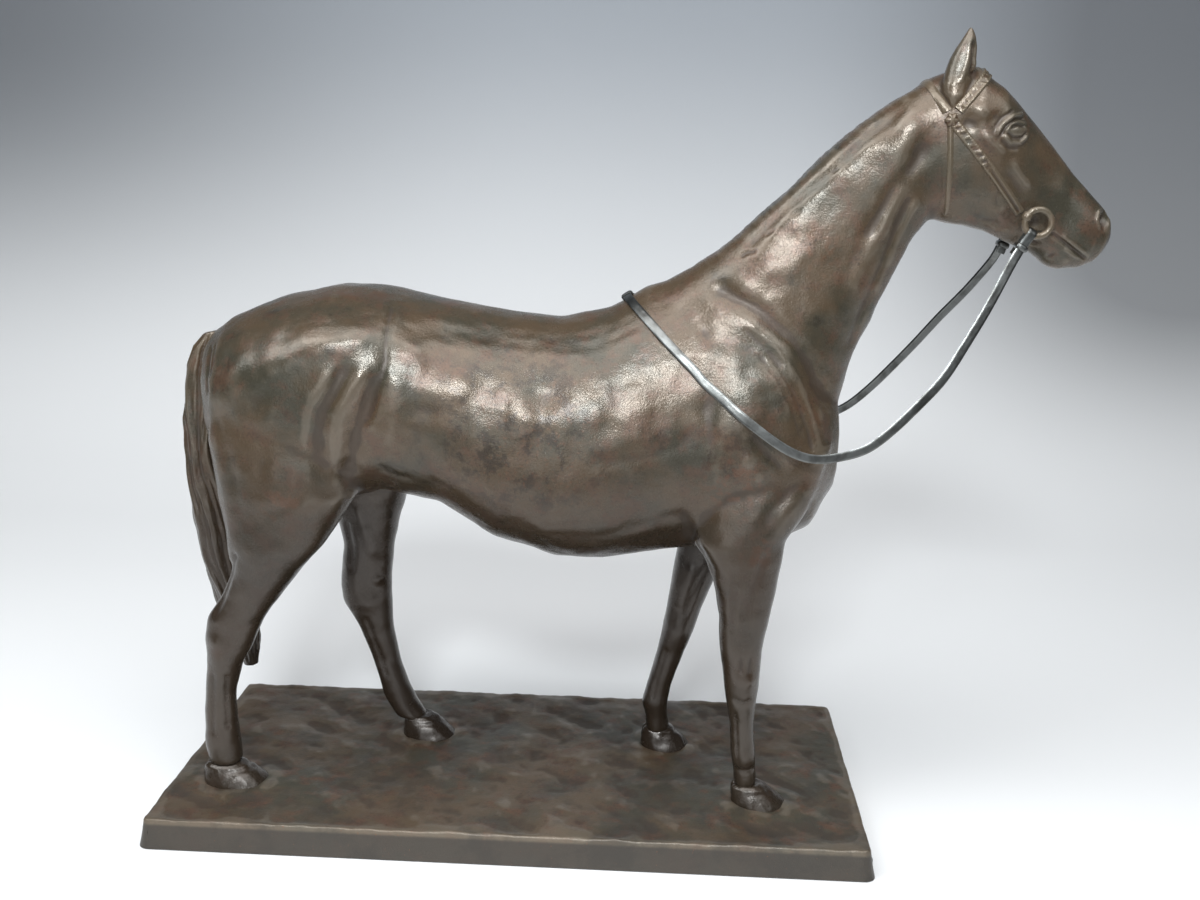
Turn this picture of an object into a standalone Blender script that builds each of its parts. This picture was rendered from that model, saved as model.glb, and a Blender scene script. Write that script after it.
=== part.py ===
"""Bronze horse standing on a cast ground plinth, with a bridle and a loose metal rein.

The horse is a hollow casting made in sections: hindquarters, barrel, forehand, neck and head, with
solid legs, ears and tail. A threaded stud runs through each hoof into its leg, and a nut and washer
hold it under the plinth. The rein hangs on the two bit rings and lifts off the withers.

Stations are in millimetres from the middle of the plinth's underside, +X towards the head, +Z up,
with the horse's right side at -Y. place() turns them into world metres about the middle of the
whole object's footprint.
"""

import math

import bmesh
import bpy
from mathutils import Vector
from mathutils.bvhtree import BVHTree

MM = 0.001
MIDDLE_X = 52.34  # plinth's middle to the middle of the whole object's box
GAP = 0.3  # between castings that touch
RING_SIDES = 20

# Plinth, a thin casting that is open underneath
PLINTH_LENGTH = 370.0
PLINTH_WIDTH = 161.0
PLINTH_HEIGHT = 15.0
PLINTH_FLARE = 3.0  # how far the foot stands out past the top edge, each side
PLINTH_WALL = 6.0
PLINTH_CORNER = 3.0
HOLLOW_CORNER = 4.0
CUT_PAST = 4.0  # how far a cutting shape runs on below the underside

# Casting walls
BODY_WALL = 4.2
NECK_WALL = 4.0
HEAD_WALL = 3.8
SKIN_VOXEL = 2.2
SKIN_TRIANGLES = 4600
SKIN_SMOOTHING = 4
CORE_VOXEL = 3.5
CORE_TRIANGLES = 640
CORE_SMOOTHING = 3
SHARP_ANGLE = math.radians(35)  # edges sharper than this show as edges

# Section joints: a point on the plane and the plane's normal
FLANK_JOINT = ((-62.0, 0.0, 220.0), (1.0, 0.0, 0.0))
GIRTH_JOINT = ((66.0, 0.0, 220.0), (1.0, 0.0, 0.0))
SHOULDER_JOINT = ((86.0, 0.0, 294.0), (0.648, 0.0, 0.762))
POLL_JOINT = ((199.0, 0.0, 352.0), (0.987, 0.0, 0.162))
FORELEG_JOINT_Z = 143.0
HIND_LEG_JOINT_Z = 152.0
BARREL_LOW_Z = 120.0  # clear under the belly, above the hooves

# Fixings under the plinth
STUD_RADIUS = 2.0
STUD_HOLE_RADIUS = 2.3
STUD_FOOT_Z = 2.5
STUD_SIDES = 16
WASHER_RADIUS = 4.5
WASHER_THICKNESS = 0.8
NUT_ACROSS_CORNERS = 8.1
NUT_THICKNESS = 3.2

# Bridle and rein
STRAP_STANDS_OUT = 1.6
STRAP_SINKS_IN = 1.6  # trimmed off again to the head's own shape
# Each band round the head: middle (x, z), the way it goes over (x, z) and its width
BANDS = {
    "crownpiece": ((205.5, 370.5), (-0.486, 0.874), 4.6),
    "browband": ((209.8, 371.4), (0.63, 0.776), 4.2),
    "throatlatch": ((207.2, 359.5), (0.086, -0.996), 2.6),
}
BAND_STEPS = 16
CHEEKPIECE_TOP = (207.6, 365.5)
CHEEKPIECE_END = (242.6, 327.0)
CHEEKPIECE_WIDTH = 4.4
CHEEKPIECE_STEPS = 8
SIGHT_FROM = 60.0  # clear of the head, where rays towards it start
BIT_CENTRE = (252.3, 320.5)  # x, z of the axis that both rings share
BIT_RING_RADIUS = 6.3
BIT_WIRE_RADIUS = 1.25
BIT_HALF_SPAN = 20.0  # horse's middle to the middle of each ring
BIT_BAR_RADIUS = 1.4
BIT_BAR_ANGLE = math.radians(32)  # of the bar round the ring, forward from its lowest point
REIN_WIDTH = 4.5
REIN_THICKNESS = 1.3
REIN_EYE_GAP = 0.7  # between the rein's eye and the ring's wire
REIN_DOUBLED = 11.0  # length of strap folded back inside the eye
REIN_REST_GAP = 1.4  # between the rein and the shoulder
REIN_END_GAP = 0.2  # from the horse's middle to the end of each rein, inside the join
KEEPER_WIDTH = 3.0
KEEPER_FROM_END = 4.5  # keeper's middle to the end of the folded strap
REIN_LANDS_OVER = 20.0  # length over which the rein comes down on to the body
KEEPER_WALL = 0.6

# Stations of the castings: front or top point (x, z), back or bottom point (x, z), half width, y
TRUNK = (
    (-166, 250, -166, 214, 12, 0),
    (-160, 257, -160, 186, 30, 0),
    (-150, 264, -150, 166, 43, 0),
    (-134, 271, -134, 158, 51, 0),
    (-115, 277, -115, 160, 55, 0),
    (-92, 282, -92, 168, 56, 0),
    (-66, 281, -66, 174, 53, 0),
    (-40, 275, -40, 168, 52, 0),
    (-11, 270, -11, 150, 54, 0),
    (22, 267, 22, 141, 55, 0),
    (48, 275, 48, 142, 52.5, 0),
    (66, 284, 66, 145, 49, 0),
    (85, 291.5, 85, 147, 46.5, 0),
    (110, 285, 110, 148, 45, 0),
    (135, 270, 135, 150, 42, 0),
    (153, 248, 153, 160, 35, 0),
    (165, 230, 165, 180, 20, 0),
)
NECK = (
    (58, 278, 158, 190, 38, 0),
    (85, 293, 166, 228, 33, 0),
    (108, 309, 171, 252, 27, 0),
    (131, 331, 180, 271, 23, 0),
    (151, 351, 188, 291, 21, 0),
    (170, 368, 197, 311, 20, 0),
    (187, 380, 204, 320, 19, 0),
    (200, 385, 212, 324, 18, 0),
)
HEAD = (
    (196, 384, 206, 326, 17, 0),
    (208, 392, 210, 319, 21, 0),
    (222, 393, 222, 317, 24, 0),
    (236, 381, 233, 315, 24, 0),
    (250, 368, 244, 310, 21, 0),
    (263, 354, 254, 307, 16, 0),
    (275, 341, 264, 297.5, 13.5, 0),
    (285, 331, 275, 298, 13.5, 0),
    (291, 324, 285, 301, 11.5, 0),
    (293, 318, 290, 306, 7, 0),
)
FORELEG_RIGHT = (
    (160, 210, 108, 206, 12, -28),
    (150, 176, 95, 176, 15, -30),
    (139, 160, 92, 158, 16, -31),
    (138, 150, 98, 150, 15, -32),
    (136, 138, 103, 138, 13.5, -33),
    (133, 119, 107, 119, 12, -34),
    (130, 101, 108, 101, 11.5, -34),
    (130, 88, 110, 88, 11, -34),
    (128.5, 74, 112, 74, 9, -34),
    (128, 58, 115, 58, 7.5, -34),
    (129.5, 43, 116, 43, 8, -34),
    (130, 34, 118, 34, 8, -34),
    (131, 26, 118.5, 26, 8, -34),
)
FORELEG_LEFT = (
    (150, 206, 105, 206, 12, 28),
    (136, 176, 92, 176, 15, 30),
    (124, 154, 88, 154, 15, 29),
    (114, 136, 86, 136, 13.5, 28),
    (107, 116, 83, 116, 12, 27),
    (101.5, 101, 81, 101, 11.5, 27),
    (97.5, 88, 79, 88, 11, 26),
    (91.5, 72, 76, 72, 8.5, 25),
    (85, 53, 71, 53, 7.5, 24),
    (83, 41, 68, 41, 8, 24),
    (83, 34, 70, 33, 8, 24),
    (85, 26, 71, 26, 8, 24),
)
HIND_LEG_RIGHT = (
    (-98, 240, -152, 240, 16, -30),
    (-82, 205, -156, 205, 22, -30),
    (-80, 178, -153, 178, 22, -31),
    (-92, 160, -150, 160, 19, -32),
    (-99, 150, -149, 150, 17.5, -33),
    (-111, 137, -147, 137, 14, -34),
    (-122, 122, -153, 122, 12, -34),
    (-132, 108, -162, 108, 11, -34),
    (-137, 97, -164, 97, 10.5, -34),
    (-145, 82, -164, 84, 9, -34),
    (-150, 66, -165.5, 66, 8, -34),
    (-150, 50, -167, 50, 8, -34),
    (-149, 38, -168, 38, 8.5, -34),
    (-147.5, 27, -165, 27, 8.5, -35),
)
HIND_LEG_LEFT = (
    (-88, 240, -146, 240, 16, 30),
    (-72, 205, -140, 205, 22, 30),
    (-64, 178, -122, 178, 22, 30),
    (-68, 162, -112, 162, 19, 29),
    (-72, 148, -108, 148, 16, 29),
    (-76, 130, -105, 130, 13, 28),
    (-78, 112, -107, 112, 11, 28),
    (-78, 97, -107, 97, 10.5, 28),
    (-77.5, 80, -99, 84, 9, 28),
    (-74, 61, -91, 63, 7.5, 28),
    (-69, 45, -86, 47, 8, 27),
    (-64, 34, -84, 38, 8.5, 27),
    (-57, 26, -76, 28, 8.5, 26),
)
TAIL = (
    (-161, 252, -170, 255, 5, 0),
    (-163, 234, -177, 237, 8, 0),
    (-164, 206, -181, 208, 9.5, 0),
    (-162, 180, -181, 180, 10, 0),
    (-158, 152, -179, 150, 10, 0),
    (-153, 124, -174, 121, 9, 0),
    (-149, 104, -169, 100, 8, 0),
    (-148, 85, -161, 82, 6, 0),
    (-149, 67, -156, 66, 3, 0),
)
EAR = (
    (214, 393, 203, 388, 5, 0),
    (217, 399, 205, 396, 5, 0),
    (217, 404, 209, 402, 4, -0.5),
    (215.5, 410, 213, 409, 1.2, -1),
)
# Each ear: its shift along, middle y and shift up
EAR_PLACES = {"right": (0, -12.5, 0), "left": (3.5, 11.5, -0.5)}
# Each hoof: middle x and y, length, width, height, and how far the coronet sits back
HOOVES = {
    "foreleg_right": (132, -36, 28, 23, 11.5, 3.5),
    "foreleg_left": (82, 24, 27, 22, 13, 1.5),
    "hind_leg_right": (-151, -36, 34, 23, 12, 3.0),
    "hind_leg_left": (-57, 25, 29, 23, 12.5, 3.0),
}
# How a hoof draws in: share of its height, share of its length and width
HOOF_PROFILE = ((0.0, 1.0), (0.15, 0.985), (0.7, 0.84), (0.9, 0.78), (1.0, 0.68))
# Each stud: x, y and the height of its top
STUDS = {
    "foreleg_right": (125, -35, 44),
    "foreleg_left": (77, 24, 40),
    "hind_leg_right": (-156, -35, 44),
    "hind_leg_left": (-67, 26, 33),
}
# Each rein from the bit back to the withers: x, z, y. From REIN_RESTS_FROM on it lies on the body.
RIGHT_REIN = (
    (241, 302, -24.0),
    (230, 281, -29.0),
    (219, 262, -34.0),
    (209, 246, -38.0),
    (197, 233, -41.5),
    (186, 222, -44.0),
    (175, 213, -45.5),
    (164, 209, -46.5),
    (149, 207, -47.5),
    (136, 211, -48.0),
    (121, 221, -48.5),
    (106, 233, -48.5),
    (94, 244, -46.0),
    (82, 256, -40.5),
    (69, 268, -30.0),
    (58, 278, -16.0),
    (53, 282, -5.0),
)
LEFT_REIN = (
    (244, 297, 26.0),
    (234, 282, 30.5),
    (223, 268, 34.5),
    (212, 253, 38.0),
    (201, 239, 41.0),
    (189, 225, 43.5),
    (177, 214, 45.5),
    (163, 208, 47.0),
    (149, 208, 48.0),
    (136, 213, 48.5),
    (121, 223, 48.5),
    (106, 234, 48.5),
    (94, 245, 46.0),
    (82, 256, 40.5),
    (69, 268, 30.0),
    (58, 278, 16.0),
    (53, 282, 5.0),
)
REIN_RESTS_FROM = 125.0  # x behind which the rein lies on the body
REIN_STEP = 5.0

BRONZE = (0.12, 0.085, 0.062)
BRONZE_ROUGHNESS = 0.42
BRONZE_METALLIC = 0.9
PLINTH_ROUGHNESS = 0.5
REIN_GREY = (0.11, 0.115, 0.11)
REIN_ROUGHNESS = 0.4
REIN_METALLIC = 0.85
STEEL = (0.42, 0.42, 0.43)
STEEL_ROUGHNESS = 0.35


def clear_scene():
    for thing in list(bpy.data.objects):
        bpy.data.objects.remove(thing)


def place(x, y, z):
    return Vector(((x - MIDDLE_X) * MM, y * MM, z * MM))


def finish_object(name, bm, colour=BRONZE, roughness=BRONZE_ROUGHNESS, metallic=BRONZE_METALLIC):
    """Turn a bmesh into a named object with its own material."""
    bmesh.ops.recalc_face_normals(bm, faces=bm.faces)
    mesh = bpy.data.meshes.new(name)
    bm.to_mesh(mesh)
    bm.free()
    thing = bpy.data.objects.new(name, mesh)
    bpy.context.scene.collection.objects.link(thing)
    mesh.shade_smooth()
    mesh.set_sharp_from_angle(angle=SHARP_ANGLE)
    material = bpy.data.materials.new(name + "_finish")
    material.use_nodes = True
    shader = material.node_tree.nodes["Principled BSDF"]
    shader.inputs["Base Color"].default_value = (*colour, 1.0)
    shader.inputs["Roughness"].default_value = roughness
    shader.inputs["Metallic"].default_value = metallic
    mesh.materials.append(material)
    return thing


def bmesh_of(thing):
    """A bmesh of the object as its modifiers leave it."""
    depsgraph = bpy.context.evaluated_depsgraph_get()
    bm = bmesh.new()
    bm.from_object(thing, depsgraph)
    return bm


def hide(thing):
    thing.hide_render = True
    thing.display_type = "WIRE"
    return thing


def superellipse(angle, power):
    c, s = math.cos(angle), math.sin(angle)
    return (
        math.copysign(abs(c) ** (2.0 / power), c),
        math.copysign(abs(s) ** (2.0 / power), s),
    )


def ring_points(station, inset=0.0, power=2.2, sides=RING_SIDES):
    """One oval cross-section between two points of the side view."""
    xa, za, xb, zb, half, y = station
    middle = Vector(((xa + xb) / 2, y, (za + zb) / 2))
    reach = Vector(((xa - xb) / 2, 0, (za - zb) / 2))
    reach *= (reach.length - inset) / reach.length
    points = []
    for i in range(sides):
        c, s = superellipse(2 * math.pi * i / sides, power)
        p = middle + reach * s + Vector((0, (half - inset) * c, 0))
        points.append(place(*p))
    return points


def add_loft(bm, stations, inset=0.0, power=2.2, sides=RING_SIDES):
    """Skin a run of cross-sections and close both ends."""
    rings = []
    for station in stations:
        rings.append([bm.verts.new(p) for p in ring_points(station, inset, power, sides)])
    for a, b in zip(rings, rings[1:]):
        for i in range(sides):
            j = (i + 1) % sides
            bm.faces.new((a[i], a[j], b[j], b[i]))
    bm.faces.new(rings[0])
    bm.faces.new(rings[-1])
    bmesh.ops.recalc_face_normals(bm, faces=bm.faces)


def modifier(thing, kind, **settings):
    made = thing.modifiers.new(kind.title(), kind)
    for key, value in settings.items():
        setattr(made, key, value)
    return made


def fuse(name, lofts, voxel, triangles, smooth_steps):
    """Run lofts together into one smooth closed skin."""
    bm = bmesh.new()
    for stations, inset in lofts:
        add_loft(bm, stations, inset)
    thing = hide(finish_object(name, bm))
    modifier(thing, "REMESH", mode="VOXEL", voxel_size=voxel * MM, adaptivity=0.0)
    modifier(thing, "SMOOTH", factor=0.5, iterations=smooth_steps)
    skin = bmesh_of(thing)
    count = 2 * len(skin.faces)
    skin.free()
    modifier(thing, "DECIMATE", ratio=min(1.0, triangles / count))
    return thing


def grown(thing, name, distance):
    """A copy of a closed skin moved out along its normals."""
    bm = bmesh_of(thing)
    bm.normal_update()
    moved = [(v, v.co + v.normal * distance * MM) for v in bm.verts]
    for v, co in moved:
        v.co = co
    return hide(finish_object(name, bm))


def cut_away(bm, point, normal):
    """Drop all on the normal's side of a plane and close the cut."""
    geometry = bm.verts[:] + bm.edges[:] + bm.faces[:]
    bmesh.ops.bisect_plane(
        bm, geom=geometry, dist=1e-7, plane_co=point, plane_no=normal, clear_outer=True
    )
    rim = [e for e in bm.edges if e.is_boundary]
    bmesh.ops.triangle_fill(bm, edges=rim, use_beauty=True, normal=normal)


def section(skin, planes):
    """The stretch of a skin that lies behind every plane, each eased by half a gap."""
    bm = bmesh_of(skin)
    for point, normal, side in planes:
        n = Vector(normal).normalized() * side
        cut_away(bm, place(*point) - n * GAP * 0.5 * MM, n)
    return bm


def islands(bm):
    """The separate lumps of a bmesh, as lists of vertices."""
    left = set(bm.verts)
    lumps = []
    while left:
        todo = [left.pop()]
        lump = []
        while todo:
            v = todo.pop()
            lump.append(v)
            for e in v.link_edges:
                o = e.other_vert(v)
                if o in left:
                    left.remove(o)
                    todo.append(o)
        lumps.append(lump)
    return lumps


def keep_lump(bm, x, y):
    """Keep only the lump whose middle is nearest to a place on the plan."""
    target = place(x, y, 0)

    def distance(lump):
        middle = sum((v.co for v in lump), Vector()) / len(lump)
        return (middle.xy - target.xy).length

    lumps = sorted(islands(bm), key=distance)
    drop = [v for lump in lumps[1:] for v in lump]
    bmesh.ops.delete(bm, geom=drop, context="VERTS")


def boolean(thing, operation, other):
    return modifier(thing, "BOOLEAN", operation=operation, object=other, solver="EXACT")


def cylinder(bm, x, y, z_low, z_high, radius, sides):
    rings = []
    for z in (z_low, z_high):
        ring = []
        for i in range(sides):
            a = 2 * math.pi * (i + 0.5) / sides
            ring.append(bm.verts.new(place(x + radius * math.cos(a), y + radius * math.sin(a), z)))
        rings.append(ring)
    low, high = rings
    for i in range(sides):
        j = (i + 1) % sides
        bm.faces.new((low[i], low[j], high[j], high[i]))
    bm.faces.new(low[::-1])
    bm.faces.new(high)


def tube(bm, x, y, z_low, z_high, outer, inner, sides=STUD_SIDES, inner_sides=STUD_SIDES):
    """A plain washer or the body of a nut, with a round hole."""
    rings = []
    for radius, count in ((outer, sides), (inner, inner_sides)):
        for z in (z_low, z_high):
            ring = []
            for i in range(count):
                a = 2 * math.pi * i / count
                ring.append(bm.verts.new(place(x + radius * math.cos(a), y + radius * math.sin(a), z)))
            rings.append(ring)
    out_low, out_high, in_low, in_high = rings
    step = inner_sides // sides
    for ring_a, ring_b, count in ((out_low, out_high, sides), (in_low, in_high, inner_sides)):
        for i in range(count):
            j = (i + 1) % count
            bm.faces.new((ring_a[i], ring_a[j], ring_b[j], ring_b[i]))
    for outer_ring, inner_ring in ((out_low, in_low), (out_high, in_high)):
        for i in range(sides):
            j = (i + 1) % sides
            inner_run = [inner_ring[(i * step + k) % inner_sides] for k in range(step + 1)]
            bm.faces.new([outer_ring[i], outer_ring[j]] + inner_run[::-1])


def stud_cutter():
    """The four vertical stud holes, as one set of rods."""
    bm = bmesh.new()
    for x, y, top in STUDS.values():
        cylinder(bm, x, y, -CUT_PAST, top + GAP, STUD_HOLE_RADIUS, STUD_SIDES)
    return hide(finish_object("stud_holes", bm))


def prism(bm, half_x_low, half_y_low, half_x_high, half_y_high, z_low, z_high, corner):
    """A tapered block on the plinth's middle, with rounded upright corners."""
    rings = []
    for hx, hy, z in ((half_x_low, half_y_low, z_low), (half_x_high, half_y_high, z_high)):
        ring = []
        for sx, sy, start in ((1, 1, 0), (-1, 1, 90), (-1, -1, 180), (1, -1, 270)):
            for k in range(5):
                a = math.radians(start + 22.5 * k)
                x = sx * (hx - corner) + corner * math.cos(a)
                y = sy * (hy - corner) + corner * math.sin(a)
                ring.append(bm.verts.new(place(x, y, z)))
        rings.append(ring)
    low, high = rings
    for i in range(len(low)):
        j = (i + 1) % len(low)
        bm.faces.new((low[i], low[j], high[j], high[i]))
    bm.faces.new(low[::-1])
    bm.faces.new(high)


def make_plinth(holes):
    bm = bmesh.new()
    half_x, half_y = PLINTH_LENGTH / 2, PLINTH_WIDTH / 2
    prism(bm, half_x + PLINTH_FLARE, half_y + PLINTH_FLARE, half_x, half_y, 0, PLINTH_HEIGHT, PLINTH_CORNER)
    plinth = finish_object("plinth", bm, roughness=PLINTH_ROUGHNESS)
    bm = bmesh.new()
    wall = PLINTH_WALL
    inner_x, inner_y = half_x - wall, half_y - wall
    top = PLINTH_HEIGHT - wall
    prism(bm, inner_x + PLINTH_FLARE, inner_y + PLINTH_FLARE, inner_x, inner_y, -CUT_PAST, top, HOLLOW_CORNER)
    hollow = hide(finish_object("plinth_hollow", bm))
    boolean(plinth, "DIFFERENCE", hollow)
    boolean(plinth, "DIFFERENCE", holes)


def make_hooves(skin, holes):
    """Each hoof stands on the plinth and takes the end of its leg."""
    for leg, (x, y, length, width, height, back) in HOOVES.items():
        bm = bmesh.new()
        low = PLINTH_HEIGHT + GAP
        stations = []
        for share, shrink in HOOF_PROFILE:
            z = low + share * height
            middle = x - back * share
            half = length / 2 * shrink
            stations.append((middle + half, z, middle - half, z, width / 2 * shrink, y))
        add_loft(bm, stations, power=2.3, sides=20)
        hoof = finish_object("hoof_" + leg, bm)
        boolean(hoof, "DIFFERENCE", skin)
        boolean(hoof, "DIFFERENCE", holes)


def make_legs(skin, holes):
    """Cut each leg off at its joint below the body."""
    for leg, height in (
        ("foreleg_right", FORELEG_JOINT_Z),
        ("foreleg_left", FORELEG_JOINT_Z),
        ("hind_leg_right", HIND_LEG_JOINT_Z),
        ("hind_leg_left", HIND_LEG_JOINT_Z),
    ):
        bm = section(skin, [((0, 0, height), (0, 0, 1), 1)])
        hoof_x, hoof_y = HOOVES[leg][:2]
        keep_lump(bm, hoof_x, hoof_y)
        made = finish_object(leg, bm)
        boolean(made, "DIFFERENCE", holes)


def make_body_sections(skin, core):
    """Cut the skin into castings and hollow each one."""
    fore_top = ((0, 0, FORELEG_JOINT_Z), (0, 0, 1), -1)
    hind_top = ((0, 0, HIND_LEG_JOINT_Z), (0, 0, 1), -1)
    cuts = {
        "hindquarters": [(*FLANK_JOINT, 1), hind_top],
        "barrel": [(*FLANK_JOINT, -1), (*GIRTH_JOINT, 1), ((0, 0, BARREL_LOW_Z), (0, 0, 1), -1)],
        "forehand": [(*GIRTH_JOINT, -1), (*SHOULDER_JOINT, 1), fore_top],
        "neck": [(*SHOULDER_JOINT, -1), (*POLL_JOINT, 1)],
        "head": [(*POLL_JOINT, -1)],
    }
    for name, planes in cuts.items():
        made = finish_object(name, section(skin, planes))
        boolean(made, "DIFFERENCE", core)
        if name == "head":
            bar_hole = rod_across(BIT_BAR_RADIUS + GAP, BIT_HALF_SPAN)
            boolean(made, "DIFFERENCE", hide(finish_object("bar_hole", bar_hole)))


def make_tail(skin_clear):
    bm = bmesh.new()
    add_loft(bm, TAIL, sides=14)
    tail = finish_object("tail", bm)
    boolean(tail, "DIFFERENCE", skin_clear)


def make_ears(skin_clear):
    for side, (along, middle, up) in EAR_PLACES.items():
        bm = bmesh.new()
        lean = math.copysign(1, middle)
        stations = [
            (xa + along, za + up, xb + along, zb + up, half, middle + lean * out)
            for xa, za, xb, zb, half, out in EAR
        ]
        add_loft(bm, stations, sides=12)
        ear = finish_object("ear_" + side, bm)
        boolean(ear, "DIFFERENCE", skin_clear)


def smooth_path(points, step):
    """Points at even steps along a Catmull-Rom curve through the given ones."""
    dense = []
    for i in range(len(points) - 1):
        p0 = points[max(i - 1, 0)]
        p1, p2 = points[i], points[i + 1]
        p3 = points[min(i + 2, len(points) - 1)]
        for k in range(12):
            t = k / 12
            a = p1 * 2
            b = (p2 - p0) * t
            c = (p0 * 2 - p1 * 5 + p2 * 4 - p3) * t * t
            d = (p1 * 3 - p0 - p2 * 3 + p3) * t * t * t
            dense.append((a + b + c + d) * 0.5)
    dense.append(points[-1])
    path = [dense[0]]
    travelled = 0.0
    for a, b in zip(dense, dense[1:]):
        travelled += (b - a).length
        if travelled >= step:
            path.append(b)
            travelled = 0.0
    if (path[-1] - dense[-1]).length < step * 0.4:
        path.pop()
    path.append(dense[-1])
    return path


def add_strip(bm, path, faces_out, width, low, high):
    """A flat strip along a path: low and high are its two faces' heights along each outward way."""
    rings = []
    for i, (p, out) in enumerate(zip(path, faces_out)):
        ahead = path[min(i + 1, len(path) - 1)] - path[max(i - 1, 0)]
        across = ahead.cross(out).normalized()
        out = across.cross(ahead).normalized()
        ring = []
        for side, height in ((-1, low), (1, low), (1, high), (-1, high)):
            q = p + across * side * width / 2 + out * height
            ring.append(bm.verts.new(place(*q)))
        rings.append(ring)
    for a, b in zip(rings, rings[1:]):
        for i in range(4):
            j = (i + 1) % 4
            bm.faces.new((a[i], a[j], b[j], b[i]))
    bm.faces.new(rings[0][::-1])
    bm.faces.new(rings[-1])


def surface_path(tree, centre, over):
    """Points where a flat fan of rays leaves the head, from the right side, by way of over, to the left."""
    over = Vector((over[0], 0, over[1])).normalized()
    path, outs = [], []
    for i in range(BAND_STEPS + 1):
        a = math.pi * i / BAND_STEPS
        direction = over * math.sin(a) - Vector((0, math.cos(a), 0))
        far = place(centre[0], 0, centre[1]) + direction * SIGHT_FROM * MM
        hit, normal, _, _ = tree.ray_cast(far, -direction)
        path.append(Vector((hit.x / MM + MIDDLE_X, hit.y / MM, hit.z / MM)))
        outs.append(normal)
    return path, evened(outs, 2)


def evened(outs, passes):
    for _ in range(passes):
        outs = [
            (outs[max(i - 1, 0)] + outs[i] * 2 + outs[min(i + 1, len(outs) - 1)]).normalized()
            for i in range(len(outs))
        ]
    return outs


def strap(name, path, outs, width, clear):
    """A strap that lies on the head, trimmed underneath to the head's own shape."""
    bm = bmesh.new()
    add_strip(bm, path, outs, width, -STRAP_SINKS_IN, STRAP_STANDS_OUT)
    made = finish_object(name, bm)
    boolean(made, "DIFFERENCE", clear)


def make_bridle(clear):
    bm = bmesh_of(clear)
    tree = BVHTree.FromBMesh(bm)
    bm.free()
    for name, (centre, over, width) in BANDS.items():
        path, outs = surface_path(tree, centre, over)
        strap(name, path, outs, width, clear)
    top, end = Vector(CHEEKPIECE_TOP), Vector(CHEEKPIECE_END)
    for side, sign in (("right", -1), ("left", 1)):
        path, outs = [], []
        for i in range(CHEEKPIECE_STEPS + 1):
            x, z = top.lerp(end, i / CHEEKPIECE_STEPS)
            hit, normal, _, _ = tree.ray_cast(place(x, sign * SIGHT_FROM, z), Vector((0, -sign, 0)))
            path.append(Vector((x, hit.y / MM, z)))
            outs.append(normal)
        strap("cheekpiece_" + side, path, evened(outs, 2), CHEEKPIECE_WIDTH, clear)


def make_bit():
    """A ring each side, and the bar that lies through the corners of the mouth between them."""
    x, z = BIT_CENTRE
    for side, sign in (("right", -1), ("left", 1)):
        bm = bmesh.new()
        loops = []
        for i in range(20):
            a = 2 * math.pi * i / 20
            out = Vector((math.cos(a), 0, math.sin(a)))
            middle = Vector((x, sign * BIT_HALF_SPAN, z)) + out * BIT_RING_RADIUS
            loop = []
            for k in range(6):
                b = 2 * math.pi * k / 6
                p = middle + (out * math.cos(b) + Vector((0, math.sin(b), 0))) * BIT_WIRE_RADIUS
                loop.append(bm.verts.new(place(*p)))
            loops.append(loop)
        for a, b in zip(loops, loops[1:] + loops[:1]):
            for k in range(6):
                n = (k + 1) % 6
                bm.faces.new((a[k], a[n], b[n], b[k]))
        finish_object("bit_ring_" + side, bm)
    bar = rod_across(BIT_BAR_RADIUS, BIT_HALF_SPAN - BIT_WIRE_RADIUS - GAP)
    finish_object("bit_bar", bar)


def rod_across(radius, half_length):
    """A rod from side to side, at the lower front of the bit rings."""
    bm = bmesh.new()
    x = BIT_CENTRE[0] + BIT_RING_RADIUS * math.sin(BIT_BAR_ANGLE)
    z = BIT_CENTRE[1] - BIT_RING_RADIUS * math.cos(BIT_BAR_ANGLE)
    ends = []
    for y in (-half_length, half_length):
        ring = []
        for i in range(12):
            a = 2 * math.pi * i / 12
            ring.append(bm.verts.new(place(x + radius * math.cos(a), y, z + radius * math.sin(a))))
        ends.append(ring)
    near, far = ends
    for i in range(12):
        j = (i + 1) % 12
        bm.faces.new((near[i], near[j], far[j], far[i]))
    bm.faces.new(near)
    bm.faces.new(far)
    return bm


def laid_on(tree, path):
    """Move the part of a path that rests on the body to its skin, and give each point's outward way."""
    outs = []
    for i, p in enumerate(path):
        near, normal, _, _ = tree.find_nearest(place(*p))
        height = (place(*p) - near).dot(normal) / MM
        rests = max(0.0, min(1.0, (REIN_RESTS_FROM - p.x) / REIN_LANDS_OVER))
        if height < REIN_REST_GAP:
            rests = 1.0
        path[i] = p + normal * (REIN_REST_GAP - height) * rests
        sideways = Vector((0, math.copysign(1, p.y), 0))
        outs.append((sideways * (1 - rests) + normal * rests).normalized())
    return path, evened(outs, 3)


def over_withers(tree):
    """Where the reins meet on top of the withers, and the way up there."""
    x, z = RIGHT_REIN[-1][:2]
    near, normal, _, _ = tree.find_nearest(place(x, 0, z))
    up = Vector((normal.x, 0, normal.z)).normalized()
    return Vector((near.x / MM + MIDDLE_X, 0, near.z / MM)) + up * REIN_REST_GAP, up


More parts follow.
